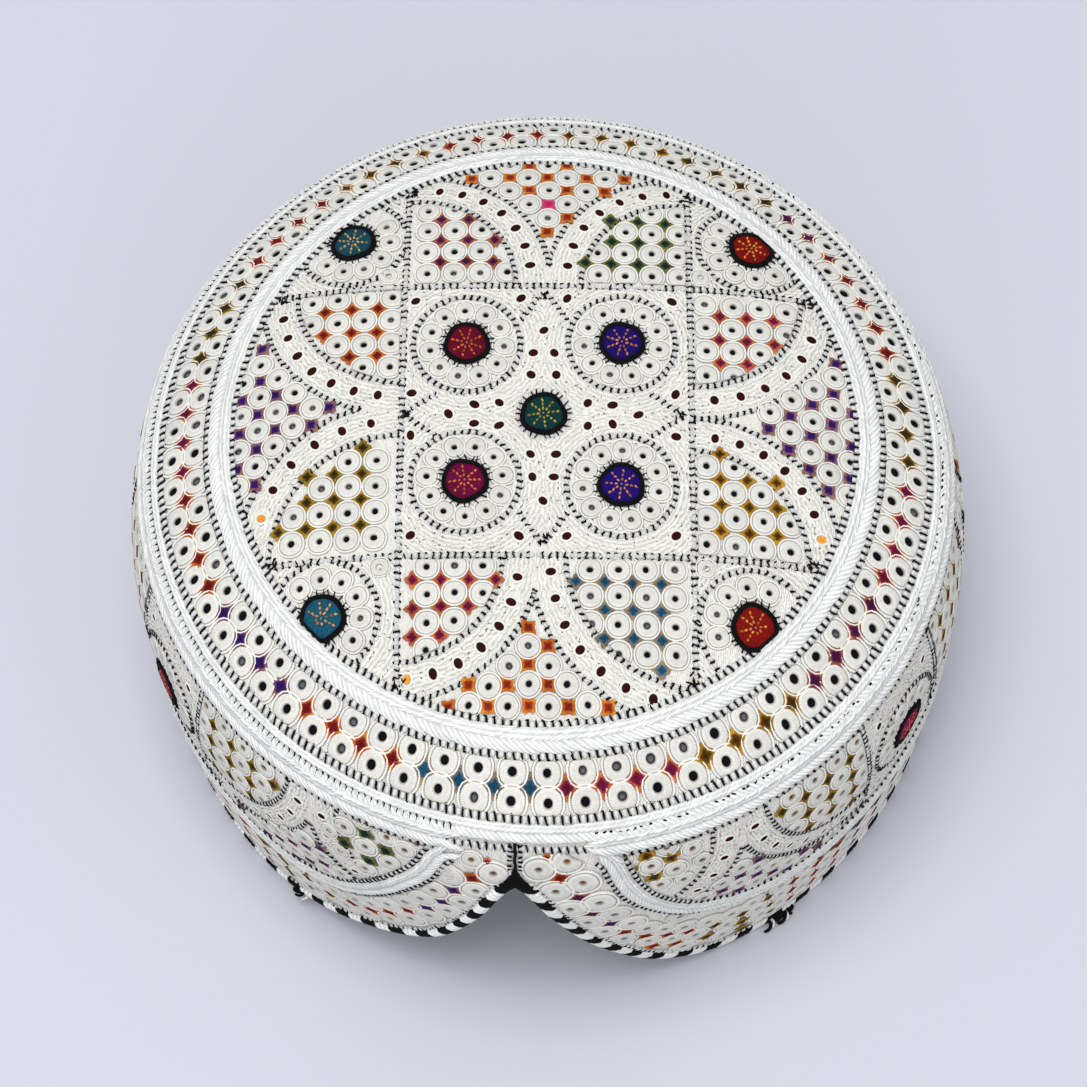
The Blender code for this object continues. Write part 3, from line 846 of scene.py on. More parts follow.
MEDALLIONS = (
    # name, x, y, felt, colour of the small stitches, slot
    ("crown_medallion_centre", 0.0, 0.0, (0.004, 0.034, 0.036), (0.42, 0.33, 0.06), "felt_teal"),
    ("crown_medallion_inner_1", -16.9, 17.2, (0.105, 0.003, 0.016), (0.60, 0.12, 0.03), "felt_crimson"),
    ("crown_medallion_inner_2", 17.1, 17.6, (0.010, 0.004, 0.105), (0.50, 0.18, 0.08), "felt_indigo"),
    ("crown_medallion_inner_3", -16.8, -16.0, (0.120, 0.003, 0.036), (0.60, 0.15, 0.04), "felt_crimson"),
    ("crown_medallion_inner_4", 16.8, -16.8, (0.012, 0.004, 0.130), (0.50, 0.20, 0.08), "felt_indigo"),
    ("crown_medallion_outer_1", -43.0, 45.5, (0.006, 0.055, 0.085), (0.50, 0.34, 0.10), "felt_blue"),
    ("crown_medallion_outer_2", 46.2, 44.6, (0.170, 0.004, 0.003), (0.66, 0.22, 0.04), "felt_red"),
    ("crown_medallion_outer_3", -46.8, -45.2, (0.008, 0.080, 0.135), (0.60, 0.28, 0.08), "felt_blue"),
    ("crown_medallion_outer_4", 44.8, -46.8, (0.190, 0.005, 0.004), (0.66, 0.25, 0.05), "felt_red"),
)
PATCH_RADIUS = 5.0
PATCH_LIMIT = 68.3
RING_EYELETS = 11
RING_REACH = 8.25
RING_EYELET_RADIUS = 2.5
DOTTED_REACH = 11.8


def arc_radius(i, angle):
    """Radius to an arc's holes at an angle about its corner: a little fuller in the middle."""
    return ARCS[i][4] * (1 + 0.018 * math.cos(4 * math.radians(angle) + math.pi))


def outside_arc(i, x, y, margin):
    cx, cy = ARCS[i][0], ARCS[i][1]
    return math.hypot(x - cx, y - cy) > ARCS[i][4] + ARC_HALF + margin


def arc_partner(i):
    """The arc on the other side of the same V field."""
    for a, b, *_ in V_FIELDS:
        if i in (a, b):
            return b if i == a else a
    return i


def beyond_square(i, x, y, margin=0.0):
    """Whether a point lies in the side field that arc i belongs to."""
    g = GRIDS[i]
    cx, cy = ARCS[i][0], ARCS[i][1]
    outward = (x - cx) * g[1] + (y - cy) * g[2]
    along = (x - cx) * g[3] + (y - cy) * g[4]
    return outward > margin and along > margin


def crown_keep(limit):
    """Pulls what would pass a plan radius back to it."""
    def keep(px, py):
        r = np.hypot(px, py)
        share = np.minimum(1.0, limit / np.maximum(r, 1e-6))
        return px * share, py * share
    return keep


def make_arcs():
    """Quarter-circle bands with brown holes between two dotted lines."""
    for i, (cx, cy, first, last, radius, count, filled) in enumerate(ARCS):
        span = 92.0 if last > first else -92.0
        start = first - (8.0 if last > first else -8.0) - (4 if last > first else -4)
        other_x, other_y, other_radius = (ARCS[arc_partner(i)][k] for k in (0, 1, 4))

        def inside(x, y, margin=0.4):
            return (beyond_square(i, x, y, margin) and math.hypot(x, y) < INNER_LIMIT - 0.7
                    and (math.hypot(x - other_x, y - other_y) > other_radius + ARC_HALF - 0.3
                         or (x - cx) ** 2 + (y - cy) ** 2 - radius ** 2
                         < (x - other_x) ** 2 + (y - other_y) ** 2 - other_radius ** 2))

        sweep = (start, start + span * 1.1)
        for offset in (-ARC_HALF, ARC_HALF):
            for path in runs(circle(cx, cy, radius + offset, *sweep, 1.0), inside):
                hook_line(crown_white, crown_black, path)
        angles = np.linspace(first, last, count)
        holes_at = []
        for k, angle in enumerate(angles):
            r = arc_radius(i, angle)
            x, y = cx + r * math.cos(math.radians(angle)), cy + r * math.sin(math.radians(angle))
            holes_at.append((x, y))
            orange = filled and k == count - 1
            add_brown_hole(crown_rows, crown_holes, x, y, math.radians(angle), orange)
        rows = []
        for offset in np.arange(-ARC_HALF + 1.3, ARC_HALF - 1.0, 0.92):
            rows += runs(circle(cx, cy, radius + offset, *sweep, 1.2), lambda x, y: inside(x, y, 0.8))
        stitched_rows(crown_rows, rows, holes_at)


def add_brown_hole(rows, holes, x, y, turn, orange=False, size=0.92):
    """Small brown-lined hole in a plain white field, with a ring of thread round it."""
    half_x, half_y = size * rng.uniform(1.05, 1.25), size * rng.uniform(0.82, 0.95)
    a = 2 * math.pi * np.arange(17) / 16
    ring = np.stack(spun(x, y, (half_x + 0.34) * np.cos(a), (half_y + 0.34) * np.sin(a), turn), 1)
    add_thread(rows, ring, 0.34, 0.40, 0.06, np.array(THREAD) * 1.04)
    if orange:
        add_hole(holes, x, y, half_x, half_y, turn, edge=GOLD, middle=ORANGE_FILL, lift=0.30)
    else:
        add_hole(holes, x, y, half_x * 1.12, half_y * 1.12, turn, edge=BROWN, middle=BROWN, lift=0.28)


def make_grids():
    """Fields of eyelets with felt stars between them, each under its arc."""
    for i, ox, oy, ax, ay, first_out, first_along, rows, felt in GRIDS:
        cx, cy, radius = ARCS[i][0], ARCS[i][1], ARCS[i][4]
        inner = radius - ARC_HALF - 0.75
        for row, count in enumerate(rows):
            for k in range(count):
                out, along = first_out + row * GRID_PITCH, first_along + k * GRID_PITCH
                x = cx + ox * out + ax * along + jitter(0.2)
                y = cy + oy * out + ay * along + jitter(0.2)
                add_star(crown_stars, x, y, 2.1, felt)

        def keep(px, py):
            dx, dy = px - cx, py - cy
            out = np.maximum(dx * ox + dy * oy, 0.9)
            along = np.maximum(dx * ax + dy * ay, 0.9)
            r = np.hypot(out, along)
            share = np.minimum(1.0, inner / r)
            return cx + ox * out * share + ax * along * share, cy + oy * out * share + ay * along * share

        for row in range(-1, 6):
            for k in range(-1, 6):
                out = first_out + (row + 0.5) * GRID_PITCH
                along = first_along + (k + 0.5) * GRID_PITCH
                if out < 1.9 or along < 1.9 or math.hypot(out, along) > inner + 0.3:
                    continue
                x, y = cx + ox * out + ax * along, cy + oy * out + ay * along
                if math.hypot(x, y) > INNER_LIMIT - 1.2:
                    continue
                add_eyelet(crown_eyelets, crown_holes, x + jitter(0.15), y + jitter(0.15),
                           2.92, keep=keep, squareness=2.25)


def make_v_fields():
    """Eyelets and felt stars in turn, in the V between two arcs and the ring braid."""
    for a, b, apex_x, apex_y, outward, step_out, step_across, felt in V_FIELDS:
        co, so = math.cos(math.radians(outward)), math.sin(math.radians(outward))
        for j in range(-2, 5):
            for k in range(-5, 6):
                x = apex_x + co * j * step_out - so * k * step_across
                y = apex_y + so * j * step_out + co * k * step_across
                star = (j + k) % 2 == 0
                margin = 0.7 if star else 1.5
                if not (outside_arc(a, x, y, margin) and outside_arc(b, x, y, margin)):
                    continue
                r = math.hypot(x, y)
                if r > INNER_LIMIT - 0.3 or not (beyond_square(a, x, y) or beyond_square(b, x, y)):
                    continue
                x, y = x + jitter(0.2), y + jitter(0.2)
                if star:
                    pink = (j == 0 and a == 0) or (a == 7 and x < -14.0 and j > 2)
                    add_star(crown_stars, x, y, 2.1, "pink" if pink else felt,
                             turn=math.radians(outward + 45), keep=crown_keep(INNER_LIMIT - 0.6))
                else:
                    add_eyelet(crown_eyelets, crown_holes, x, y, 2.85, turn=math.radians(outward + 45),
                               squareness=2.1, keep=crown_keep(INNER_LIMIT - 0.7))


def in_central_square(x, y, margin=0.8):
    return LINE_WEST + margin < x < LINE_EAST - margin and LINE_SOUTH + margin < y < LINE_NORTH - margin


def make_central_square():
    """Four ringed medallions, and four plain petals with brown holes round the middle one."""
    petal_holes, single_holes = [], []
    for quarter in range(4):
        c, s = math.cos(quarter * math.pi / 2), math.sin(quarter * math.pi / 2)
        for out, side in ((20.6, 0.0), (15.0, -2.3), (15.0, 2.3), (9.6, -2.75), (9.6, 2.75)):
            petal_holes.append((out * c - side * s, out * s + side * c))
        for out, side in ((28.7, -5.1), (28.7, 5.1), (28.2, 28.4)):
            single_holes.append((out * c - side * s, out * s + side * c))
    taken = petal_holes + single_holes
    for x, y in taken:
        add_brown_hole(crown_rows, crown_holes, x, y, rng.uniform(0, 3))
    centres = [(m[1], m[2]) for m in MEDALLIONS[1:5]]

    def clear_of_rings(x, y):
        nearest = min(math.hypot(x - u, y - v) for u, v in centres)
        return in_central_square(x, y) and nearest > DOTTED_REACH + 0.9

    for x, y in centres:
        for path in runs(circle(x, y, DOTTED_REACH, step=2), lambda u, v: in_central_square(u, v, 0.4)):
            hook_line(crown_white, crown_black, path)
        stitched_rows(crown_rows, [circle(x, y, RING_REACH + 2.45, step=4)], [])
        rows = []
        for reach in np.arange(DOTTED_REACH + 1.3, DOTTED_REACH + 8.0, 0.95):
            nearest = lambda u, v, cx=x, cy=y: (
                clear_of_rings(u, v) and math.hypot(u, v) > 6.4
                and math.hypot(u - cx, v - cy) <= min(math.hypot(u - p, v - q) for p, q in centres) + 0.01)
            rows += runs(circle(x, y, reach, step=2), nearest)
        stitched_rows(crown_rows, rows, taken)
    for quarter in range(4):
        c, s = math.cos(quarter * math.pi / 2), math.sin(quarter * math.pi / 2)
        for side in (-1, 1):
            path = line(23.5, side * 5.0, 30.0, side * 0.5, 12)
            turned = np.stack([path[:, 0] * c - path[:, 1] * s, path[:, 0] * s + path[:, 1] * c], 1)
            hook_line(crown_white, crown_black, turned)
        add_knot(crown_black, 29.6 * c, 29.6 * s)


def add_knot(black, x, y, count=6, spread=0.9):
    """A few black stitches crossed over each other where lines meet."""
    for _ in range(count):
        add_stitch(black, x + jitter(spread), y + jitter(spread), rng.uniform(0, math.pi),
                   rng.uniform(0.9, 1.9), rng.uniform(0.34, 0.48), 0.34, BLACK, lift=rng.uniform(0.2, 0.4))


def make_lines():
    """The square's sides, carried on to the ring braid, and the rings of bar stitches."""
    reach = INNER_LIMIT - 0.9
    for x in (LINE_WEST, LINE_EAST):
        half = math.sqrt(reach ** 2 - x ** 2)
        dotted_line(crown_white, crown_black, line(x, -half, x, half, 90))
    for y in (LINE_NORTH, LINE_SOUTH):
        half = math.sqrt(reach ** 2 - y ** 2)
        dotted_line(crown_white, crown_black, line(-half, y, half, y, 90))
    for x in (LINE_WEST, LINE_EAST):
        for y in (LINE_NORTH, LINE_SOUTH):
            for px, py in ((x, math.copysign(math.sqrt(reach ** 2 - x ** 2), y)),
                           (math.copysign(math.sqrt(reach ** 2 - y ** 2), x), y)):
                add_knot(crown_black, px * 0.985, py * 0.985, 9, 1.2)
    for radius, width in BAR_RINGS:
        bar_line(crown_white, crown_black, circle(0, 0, radius, step=1), width=width)


def add_medallion(name, surface, x, y, felt, dots, slot, limit=None, turn=0.0):
    """Round felt patch under a border of black thread, with eight spokes of small stitches."""
    work = Work(name, surface)
    black = Work(name + "_border", surface)
    dot_work = Work(name + "_dots", surface)

    def trimmed(px, py):
        return (px, py) if limit is None else crown_keep(limit)(px, py)

    sides = 40
    a = ring_angles(sides)
    wander = 1 + 0.03 * np.sin(3 * a + rng.uniform(0, 6)) + 0.02 * np.sin(5 * a + rng.uniform(0, 6))
    rings = []
    for share, height in ((0.98, 0.05), (0.94, 0.62), (0.6, 0.78), (0.25, 0.84)):
        reach = PATCH_RADIUS * share * wander
        px, py = trimmed(x + reach * np.cos(a), y + reach * np.sin(a))
        rings.append(np.stack([px, py, np.full(sides, height)], 1))
    rings.append(np.array([[x, y, 0.84]]))
    work.add(np.concatenate(rings), *capped_faces(4, sides), felt)
    for radius, width, height in ((4.80, 0.36, 0.95), (4.42, 0.34, 1.04)):
        px, py = trimmed(x + radius * wander * np.cos(a), y + radius * wander * np.sin(a))
        shrink = 1 if limit is None else (radius / 4.80) ** 0.15
        px, py = x + (px - x) * shrink, y + (py - y) * shrink
        ring = np.stack([np.append(px, px[0]), np.append(py, py[0])], 1)
        add_thread(black, ring, width, 0.55, height - 0.55, BLACK)
    for k in range(24):
        angle = 2 * math.pi * (k + jitter(0.25)) / 24
        px, py = polar(x, y, 5.4, angle)
        if limit is not None and math.hypot(px, py) > limit - 0.9:
            px, py = px * (limit - 0.9) / math.hypot(px, py), py * (limit - 0.9) / math.hypot(px, py)
        lean = angle + jitter(0.45)
        add_stitch(black, px, py, lean, rng.uniform(1.4, 2.2), rng.uniform(0.26, 0.38), 0.4, BLACK, lift=0.45)
    for k in range(8):
        angle = turn + 2 * math.pi * (k + jitter(0.12)) / 8
        for reach in (1.15, 2.15, 3.15):
            px, py = polar(x, y, reach, angle)
            if limit is not None and math.hypot(px, py) > limit - 2.0:
                continue
            add_bead(dot_work, px, py, angle + jitter(0.5), rng.uniform(0.36, 0.50), 0.26, 0.32,
                     np.array(dots) * rng.uniform(0.5, 1.3), lift=0.78)
    add_bead(dot_work, x, y, 0.0, 0.24, 0.24, 0.36, np.array((0.30, 0.24, 0.18)), lift=0.8)
    work.build(FELT, slot, [name])
    black.build(BLACK_THREAD, "black_thread")
    dot_work.build(FELT, slot)


def make_medallion_rings():
    """The crown's medallions, and the eyelets round all but the middle one."""
    for i, (name, x, y, felt, dots, slot) in enumerate(MEDALLIONS):
        outer = math.hypot(x, y) > 40.0
        limit = PATCH_LIMIT if outer else None
        add_medallion(name, on_crown, x, y, felt, dots, slot, limit, turn=rng.uniform(0, 0.7))
        if i == 0:
            continue
        start = rng.uniform(0, 2 * math.pi / RING_EYELETS)
        for k in range(RING_EYELETS):
            angle = start + 2 * math.pi * k / RING_EYELETS
            px, py = polar(x, y, RING_REACH, angle)
            if outer and (math.hypot(px, py) > INNER_LIMIT - 3.4 or not in_corner(px, py, 2.3)):
                continue
            add_eyelet(crown_eyelets, crown_holes, px, py, RING_EYELET_RADIUS, hole=0.55, turn=angle,
                       squareness=2.3, stretch=1.16)
        if outer:
            path = circle(x, y, DOTTED_REACH + 0.2, step=2)
            for part in runs(path, lambda u, v: in_corner_field(u, v, 1.2, 0.6)):
                hook_line(crown_white, crown_black, part)
            filling = []
            for reach in np.arange(DOTTED_REACH + 1.4, DOTTED_REACH + 14.0, 0.95):
                filling += runs(circle(x, y, reach, step=2), lambda u, v: in_corner_field(u, v, 1.3, 1.0))
            stitched_rows(crown_rows, filling, [])
            cx, cy = math.copysign(34.6, x), math.copysign(35.2, y)
            add_eyelet(crown_eyelets, crown_holes, cx, cy, 2.3, hole=0.55, squareness=2.6)


def in_corner(x, y, margin):
    """Whether a point lies beyond a corner of the square, past both of its lines."""
    past_x = x > LINE_EAST + margin or x < LINE_WEST - margin
    past_y = y > LINE_NORTH + margin or y < LINE_SOUTH - margin
    return past_x and past_y


def in_corner_field(x, y, rim_margin, line_margin):
    return math.hypot(x, y) < INNER_LIMIT - rim_margin and in_corner(x, y, line_margin)


RIM_STAR_RADIUS = 79.7
RIM_EYELETS = (
    # ring's radius, eyelets' radius, stretch
    (76.9, 3.1, 1.10), (82.2, 3.2, 1.14),
)
RIM_LIMITS = (74.9, 84.3)     # plan radii that the rim's eyelets stay between
BAR_RINGS = (
    # radius, width of the rings of bar stitches on the crown
    (INNER_LIMIT - 0.1, 1.75), (74.0, 1.8), (85.05, 1.9),
)
RIM_COUNT = 71
RIM_MARKS = (
    # star number from the front, azimuth
    (0, -18.3), (10, 36.0), (20, 87.2), (30, 136.2), (35, 160.6), (40, 186.8), (46, 215.3), (55, 259.9),
    (65, 310.7), (71, 341.7),
)
RIM_COLOURS = (
    # felt, stars in a row
    ("blue", 4), ("crimson", 4), ("amber", 4), ("plum", 4), ("crimson", 4), ("olive", 4), ("red", 5),
    ("plum", 2), ("olive", 4), ("amber", 4), ("red", 4), ("amber", 4), ("red", 4), ("olive", 4),
    ("crimson", 4), ("red", 4), ("violet", 4), ("red", 4),
)


def make_rim():
    """Two rings of eyelets round the crown's shoulder, with a ring of felt stars between."""
    felts = [felt for felt, count in RIM_COLOURS for _ in range(count)]
    marks = np.array(RIM_MARKS)
    for k in range(RIM_COUNT):
        azimuth, half = (math.radians(np.interp(k + part, marks[:, 0], marks[:, 1])) for part in (0.0, 0.5))
        x, y = RIM_STAR_RADIUS * math.sin(azimuth), -RIM_STAR_RADIUS * math.cos(azimuth)
        add_star(crown_stars, x + jitter(0.15), y + jitter(0.15), 2.75, felts[k], turn=azimuth)
        for radius, size, longer in RIM_EYELETS:
            x, y = radius * math.sin(half), -radius * math.cos(half)
            add_eyelet(rim_eyelets, crown_holes, x, y, size, hole=0.86, turn=half, squareness=2.5,
                       keep=shoulder_keep, stretch=longer)


def shoulder_keep(px, py):
    """Keeps the rim's eyelets between its two rings of bar stitches."""
    r = np.hypot(px, py)
    share = np.clip(r, *RIM_LIMITS) / np.maximum(r, 1e-6)
    return px * share, py * share


make_arcs()
make_grids()
make_v_fields()
make_central_square()
make_lines()
make_medallion_rings()
make_rim()
crown_eyelets.build(EYELET_THREAD, "crown_cloth")
rim_eyelets.build(EYELET_THREAD, "crown_cloth")
crown_holes.build(HOLE, "black_thread")
crown_stars.build(FELT, "felt_red")
crown_white.build(LOOP_THREAD, "crown_cloth")
crown_black.build(BLACK_THREAD, "black_thread")
crown_rows.build(TWIST_THREAD, "crown_cloth")


# Band embroidery

band_eyelets = Work("band_eyelets", on_band)
border_eyelets = Work("border_eyelets", on_band)
band_holes = Work("band_hole_floors", on_band)
band_stars = Work("band_stars", on_band)
band_white = Work("band_white_loops", on_band)
band_black = Work("band_black_stitches", on_band)
band_rows = Work("band_stitched_rows", on_band)

FRONT = ARCH_APEX             # the seam in the middle of the notch, where the band's cloth begins and ends
TOP_BRAID_HEIGHT = 76.2
TOP_BRAID_ENDS = (7.2, 347.2)
TOP_LINE = 73.4               # bar line under the top braid
FRONT_LINE = 76.2             # bar line under the edge braid, over the notch
SEAM_LINE = 78.65             # stitches between the edge braid and the top braid
BRAID_MARGIN = 3.6            # from the arch braid's middle to the outside of its bar lines
V_AZIMUTHS = (27.0, 87.0, 147.0, 207.0, 267.0, 327.0)
PANEL_AZIMUTHS = (57.0, 117.0, 177.0, 237.0, 297.0)
QUARTER_OFFSET = 35.3         # from a V's middle to the corners of the quarter circles beside it
QUARTER_TOP = 73.6
QUARTER_RADIUS = 32.6
PANEL_HALF = 14.4
PANEL_MEDALLION = 54.0
BAND_PITCH = 6.6
V_FELTS = ("violet", "violet", "orange", "blue", "violet", "violet")
QUARTER_FELTS = ("amber", "olive", "olive", "red", "plum", "olive", "crimson", "blue", "olive", "plum",
                 "olive", "green")
BORDER_RIGHT = (
    # azimuth, height, felt of the border's stars from the notch on
    (0.3, 75.6, "orange"), (2.0, 67.9, "red"), (4.2, 60.1, "plum"), (5.9, 51.4, "plum"),
    (8.3, 43.6, "violet"), (10.3, 36.6, "red"), (13.0, 31.0, "red"), (16.2, 27.8, "red"),
    (19.2, 25.3, "red"), (23.2, 22.3, "olive"), (27.4, 21.5, "olive"), (31.5, 23.1, "olive"),
)
BORDER_LEFT = (
    (324.5, 24.4, "olive"), (328.1, 23.1, "amber"), (331.9, 26.2, "red"), (335.1, 28.5, "red"),
    (338.0, 32.9, "red"), (341.0, 39.3, "crimson"), (343.9, 45.5, "violet"), (346.2, 52.2, "violet"),
    (347.9, 59.3, "violet"), (350.4, 65.6, "red"), (352.4, 73.2, "crimson"),
)
BORDER_HIDDEN = ("crimson", "violet", "red", "olive", "plum", "red", "amber")
BORDER_COUNT = 70             # regular columns of stars round the sides and back
BORDER_HEIGHT = 23.4
BORDER_ROW = 6.7
FRONT_STARS = (
    # azimuth, height, felt of the stars in the two fields beside the notch
    (13.6, 71.4, "amber"), (16.8, 69.0, "amber"), (14.3, 63.8, "olive"), (11.2, 67.6, "olive"),
    (335.5, 69.9, "green"), (332.6, 63.0, "green"), (338.6, 67.0, "green"), (336.3, 60.4, "green"),
)
FRONT_EYELETS = (
    # azimuth, height, radius
    (14.1, 67.6, 3.0), (17.3, 64.4, 3.0), (16.5, 72.4, 2.8), (19.8, 69.6, 2.8), (19.9, 73.2, 2.6),
    (11.4, 63.0, 2.6),
    (15.1, 59.8, 2.8), (18.3, 59.4, 2.4), (10.6, 71.6, 2.6), (21.0, 64.6, 2.3),
    (335.6, 65.2, 3.2), (332.4, 68.6, 3.0), (338.6, 71.4, 2.8), (341.2, 69.4, 2.8), (339.0, 62.6, 3.0),
    (335.6, 56.0, 3.0), (332.0, 58.6, 2.6), (335.0, 73.2, 2.4), (342.8, 72.6, 2.0), (330.2, 64.4, 2.4),
)
NOTCH_EYELETS = (
    # azimuth, height, radius of more eyelets either side of the seam
    (350.3, 71.7, 2.7), (347.2, 66.2, 2.4),
)


class Track:
    """A line over the band, with the signed distance of points from it, over zero on its left."""

    def __init__(self, height_of, first, last):
        azimuths = np.linspace(first, last, 900)
        path = np.stack([np.radians(azimuths) * WIDEST_RADIUS, [height_of(a) for a in azimuths]], 1)
        self.points, angles = resample(path, 0.8)
        self.normals = np.stack([-np.sin(angles), np.cos(angles)], 1)

    def gap(self, s, z):
        ds, dz = s[:, None] - self.points[None, :, 0], z[:, None] - self.points[None, :, 1]
        near = np.argmin(ds * ds + dz * dz, axis=1)
        i = np.arange(len(s))
        return ds[i, near] * self.normals[near, 0] + dz[i, near] * self.normals[near, 1], near

    def pushed(self, s, z, low, high):
        """Points moved square to the line until their distances lie between low and high."""
        gap, near = self.gap(s, z)
        move = np.clip(gap, low, high) - gap
        return s + self.normals[near, 0] * move, z + self.normals[near, 1] * move


BRAID_TRACK = Track(braid_height, ARCH_BRAID[0][0], ARCH_BRAID[-1][0])
HEM_TRACK = Track(edge_height, FRONT, FRONT + 360.0)


def panel_keep(ps, pz):
    """Keeps a shape above the arch braid and below the top braid's bar line."""
    s, z = BRAID_TRACK.pushed(ps.ravel(), pz.ravel(), BRAID_MARGIN, 999.0)
    return s.reshape(ps.shape), np.minimum(z, TOP_LINE - 0.8).reshape(pz.shape)


def border_keep(ps, pz):
    """Keeps a shape between the arch braid and the edging, beside the seam over the notch."""
    s, z = BRAID_TRACK.pushed(ps.ravel(), pz.ravel(), -999.0, -BRAID_MARGIN)
    s, z = HEM_TRACK.pushed(s, z, 0.9, 999.0)
    s = np.clip(s, arc(FRONT) + 0.7, arc(FRONT + 360.0) - 0.7)
    return s.reshape(ps.shape), np.minimum(z, FRONT_LINE - 0.8).reshape(pz.shape)


def in_panel(s, z, margin=0.4):
    """Whether a point lies above the arch braid and below the bar line of the top braid."""
    gap, _ = BRAID_TRACK.gap(np.array([s]), np.array([z]))
    return gap[0] > BRAID_MARGIN + margin and z < TOP_LINE - 0.8 - margin


def quarter_fields():
    """Middle of each V, the side its quarter circle lies on, and the circle's corner."""
    for i, v in enumerate(V_AZIMUTHS):
        for j, side in enumerate((-1, 1)):
            yield 2 * i + j, arc(v), side, arc(v) + side * QUARTER_OFFSET


def make_band_quarters():
    """Quarter circles of brown holes either side of each V, with grids of eyelets and stars inside them."""
    for index, middle, side, corner in quarter_fields():
        front = index in (0, len(V_AZIMUTHS) * 2 - 1)

        def here(s, z, margin=0.4):
            beside = (s - middle) * side > 0.55 + margin - 0.4 and (corner - s) * side > 0.9
            return beside and in_panel(s, z, margin)

        first, last = (0.0, -92.0) if side < 0 else (180.0, 272.0)
        for offset in (-ARC_HALF, ARC_HALF):
            for path in runs(circle(corner, QUARTER_TOP, QUARTER_RADIUS + offset, first, last, 1.0), here):
                hook_line(band_white, band_black, path)
        holes_at = []
        for k in range(8):
            angle = math.radians((-10.0 - 11.0 * k) if side < 0 else (190.0 + 11.0 * k))
            s, z = polar(corner, QUARTER_TOP, QUARTER_RADIUS, angle)
            if here(s, z, 1.6):
                holes_at.append((s, z))
                add_brown_hole(band_rows, band_holes, s, z, angle, size=0.80)
        rows = []
        for offset in np.arange(-ARC_HALF + 1.3, ARC_HALF - 1.0, 0.92):
            path = circle(corner, QUARTER_TOP, QUARTER_RADIUS + offset, first, last, 1.2)
            rows += runs(path, lambda s, z: here(s, z, 0.8))
        stitched_rows(band_rows, rows, holes_at)
        if front:
            continue
        inner = QUARTER_RADIUS - ARC_HALF - 0.8

        def keep(ps, pz):
            ds = np.maximum((corner - ps) * side, 0.9)
            dz = np.maximum(QUARTER_TOP - pz, 0.0)
            share = np.minimum(1.0, inner / np.maximum(np.hypot(ds, dz), 1e-6))
            return panel_keep(corner - ds * side * share, QUARTER_TOP - dz * share)

        for row, count in enumerate((4, 3, 3, 1)):
            for k in range(count):
                s = corner - side * (5.6 + BAND_PITCH * k) + jitter(0.2)
                z = QUARTER_TOP - 6.0 - BAND_PITCH * row + jitter(0.2)
                add_star(band_stars, s, z, 2.3, QUARTER_FELTS[index], keep=keep)
        for row in range(-1, 4):
            for k in range(-1, 4):
                along = 5.6 + BAND_PITCH * (k + 0.5)
                down = max(6.0 + BAND_PITCH * (row + 0.5), 3.2)
                if math.hypot(along, down) > inner + 0.6:
                    continue
                add_eyelet(band_eyelets, band_holes, corner - side * along, QUARTER_TOP - down, 3.15,
                           hole=0.66, keep=keep, squareness=2.25, lining=True)


def make_band_v_fields():
    """Eyelets and stars in turn between two quarter circles, above the arch braid."""
    for i, v in enumerate(V_AZIMUTHS):
        middle = arc(v)
        for j in range(-1, 6):
            for k in range(-6, 7):
                s, z = middle - 1.2 + 4.3 * k, 49.7 - 4.45 * j
                star = (j + k) % 2 == 0
                clear = min(math.hypot(s - middle - side * QUARTER_OFFSET, z - QUARTER_TOP)
                            for side in (-1, 1))
                if clear < QUARTER_RADIUS + ARC_HALF + (0.8 if star else 1.5) or not in_panel(s, z, 0.2):
                    continue
                if star:
                    add_star(band_stars, s, z, 2.2, V_FELTS[i], turn=math.pi / 4, keep=panel_keep)
                else:
                    add_eyelet(band_eyelets, band_holes, s, z, 3.0, turn=math.pi / 4, squareness=2.1,
                               keep=panel_keep, lining=True)


def make_band_panels():
    """A medallion in its ring of eyelets, between each two quarter circles."""
    for i, m in enumerate(PANEL_AZIMUTHS):
        middle = arc(m)
        add_medallion(f"band_medallion_{i + 1}", on_band, middle, PANEL_MEDALLION, (0.26, 0.006, 0.075),
                      (0.50, 0.10, 0.06), "felt_crimson", turn=rng.uniform(0, 0.7))
        for side in (-1, 1):
            path = line(middle + side * PANEL_HALF, TOP_LINE, middle + side * PANEL_HALF, 30.0, 60)
            for part in runs(path, in_panel):
                dotted_line(band_white, band_black, part)

        def here(s, z, margin=0.6):
            return abs(s - middle) < PANEL_HALF - margin and in_panel(s, z, margin)

        start = rng.uniform(0, 0.6)
        for k in range(RING_EYELETS):
            angle = start + 2 * math.pi * k / RING_EYELETS
            s, z = polar(middle, PANEL_MEDALLION, RING_REACH, angle)
            add_eyelet(band_eyelets, band_holes, s, z, RING_EYELET_RADIUS, hole=0.55, turn=angle,
                       squareness=2.3, lining=True, stretch=1.16)
        for part in runs(circle(middle, PANEL_MEDALLION, DOTTED_REACH, step=2), here):
            hook_line(band_white, band_black, part)
        singles = [(middle + s, z) for s in (-9.6, 9.6) for z in (67.6, 40.6)]
        for s, z in singles:
            add_brown_hole(band_rows, band_holes, s, z, rng.uniform(0, 3), size=0.78)
        rows = [circle(middle, PANEL_MEDALLION, RING_REACH + 2.45, step=4)]
        for reach in np.arange(DOTTED_REACH + 1.3, 24.0, 0.95):
            rows += runs(circle(middle, PANEL_MEDALLION, reach, step=2), lambda s, z: here(s, z, 1.0))
        stitched_rows(band_rows, rows, singles)


def make_front_fields():
    for azimuth, height, felt in FRONT_STARS:
        turn = 0.35 if azimuth < 180 else -0.35
        add_star(band_stars, arc(azimuth), height, 2.5, felt, turn=turn, keep=panel_keep)
    for azimuth, height, radius in FRONT_EYELETS:
        add_eyelet(band_eyelets, band_holes, arc(azimuth), height, radius, keep=panel_keep, lining=True)


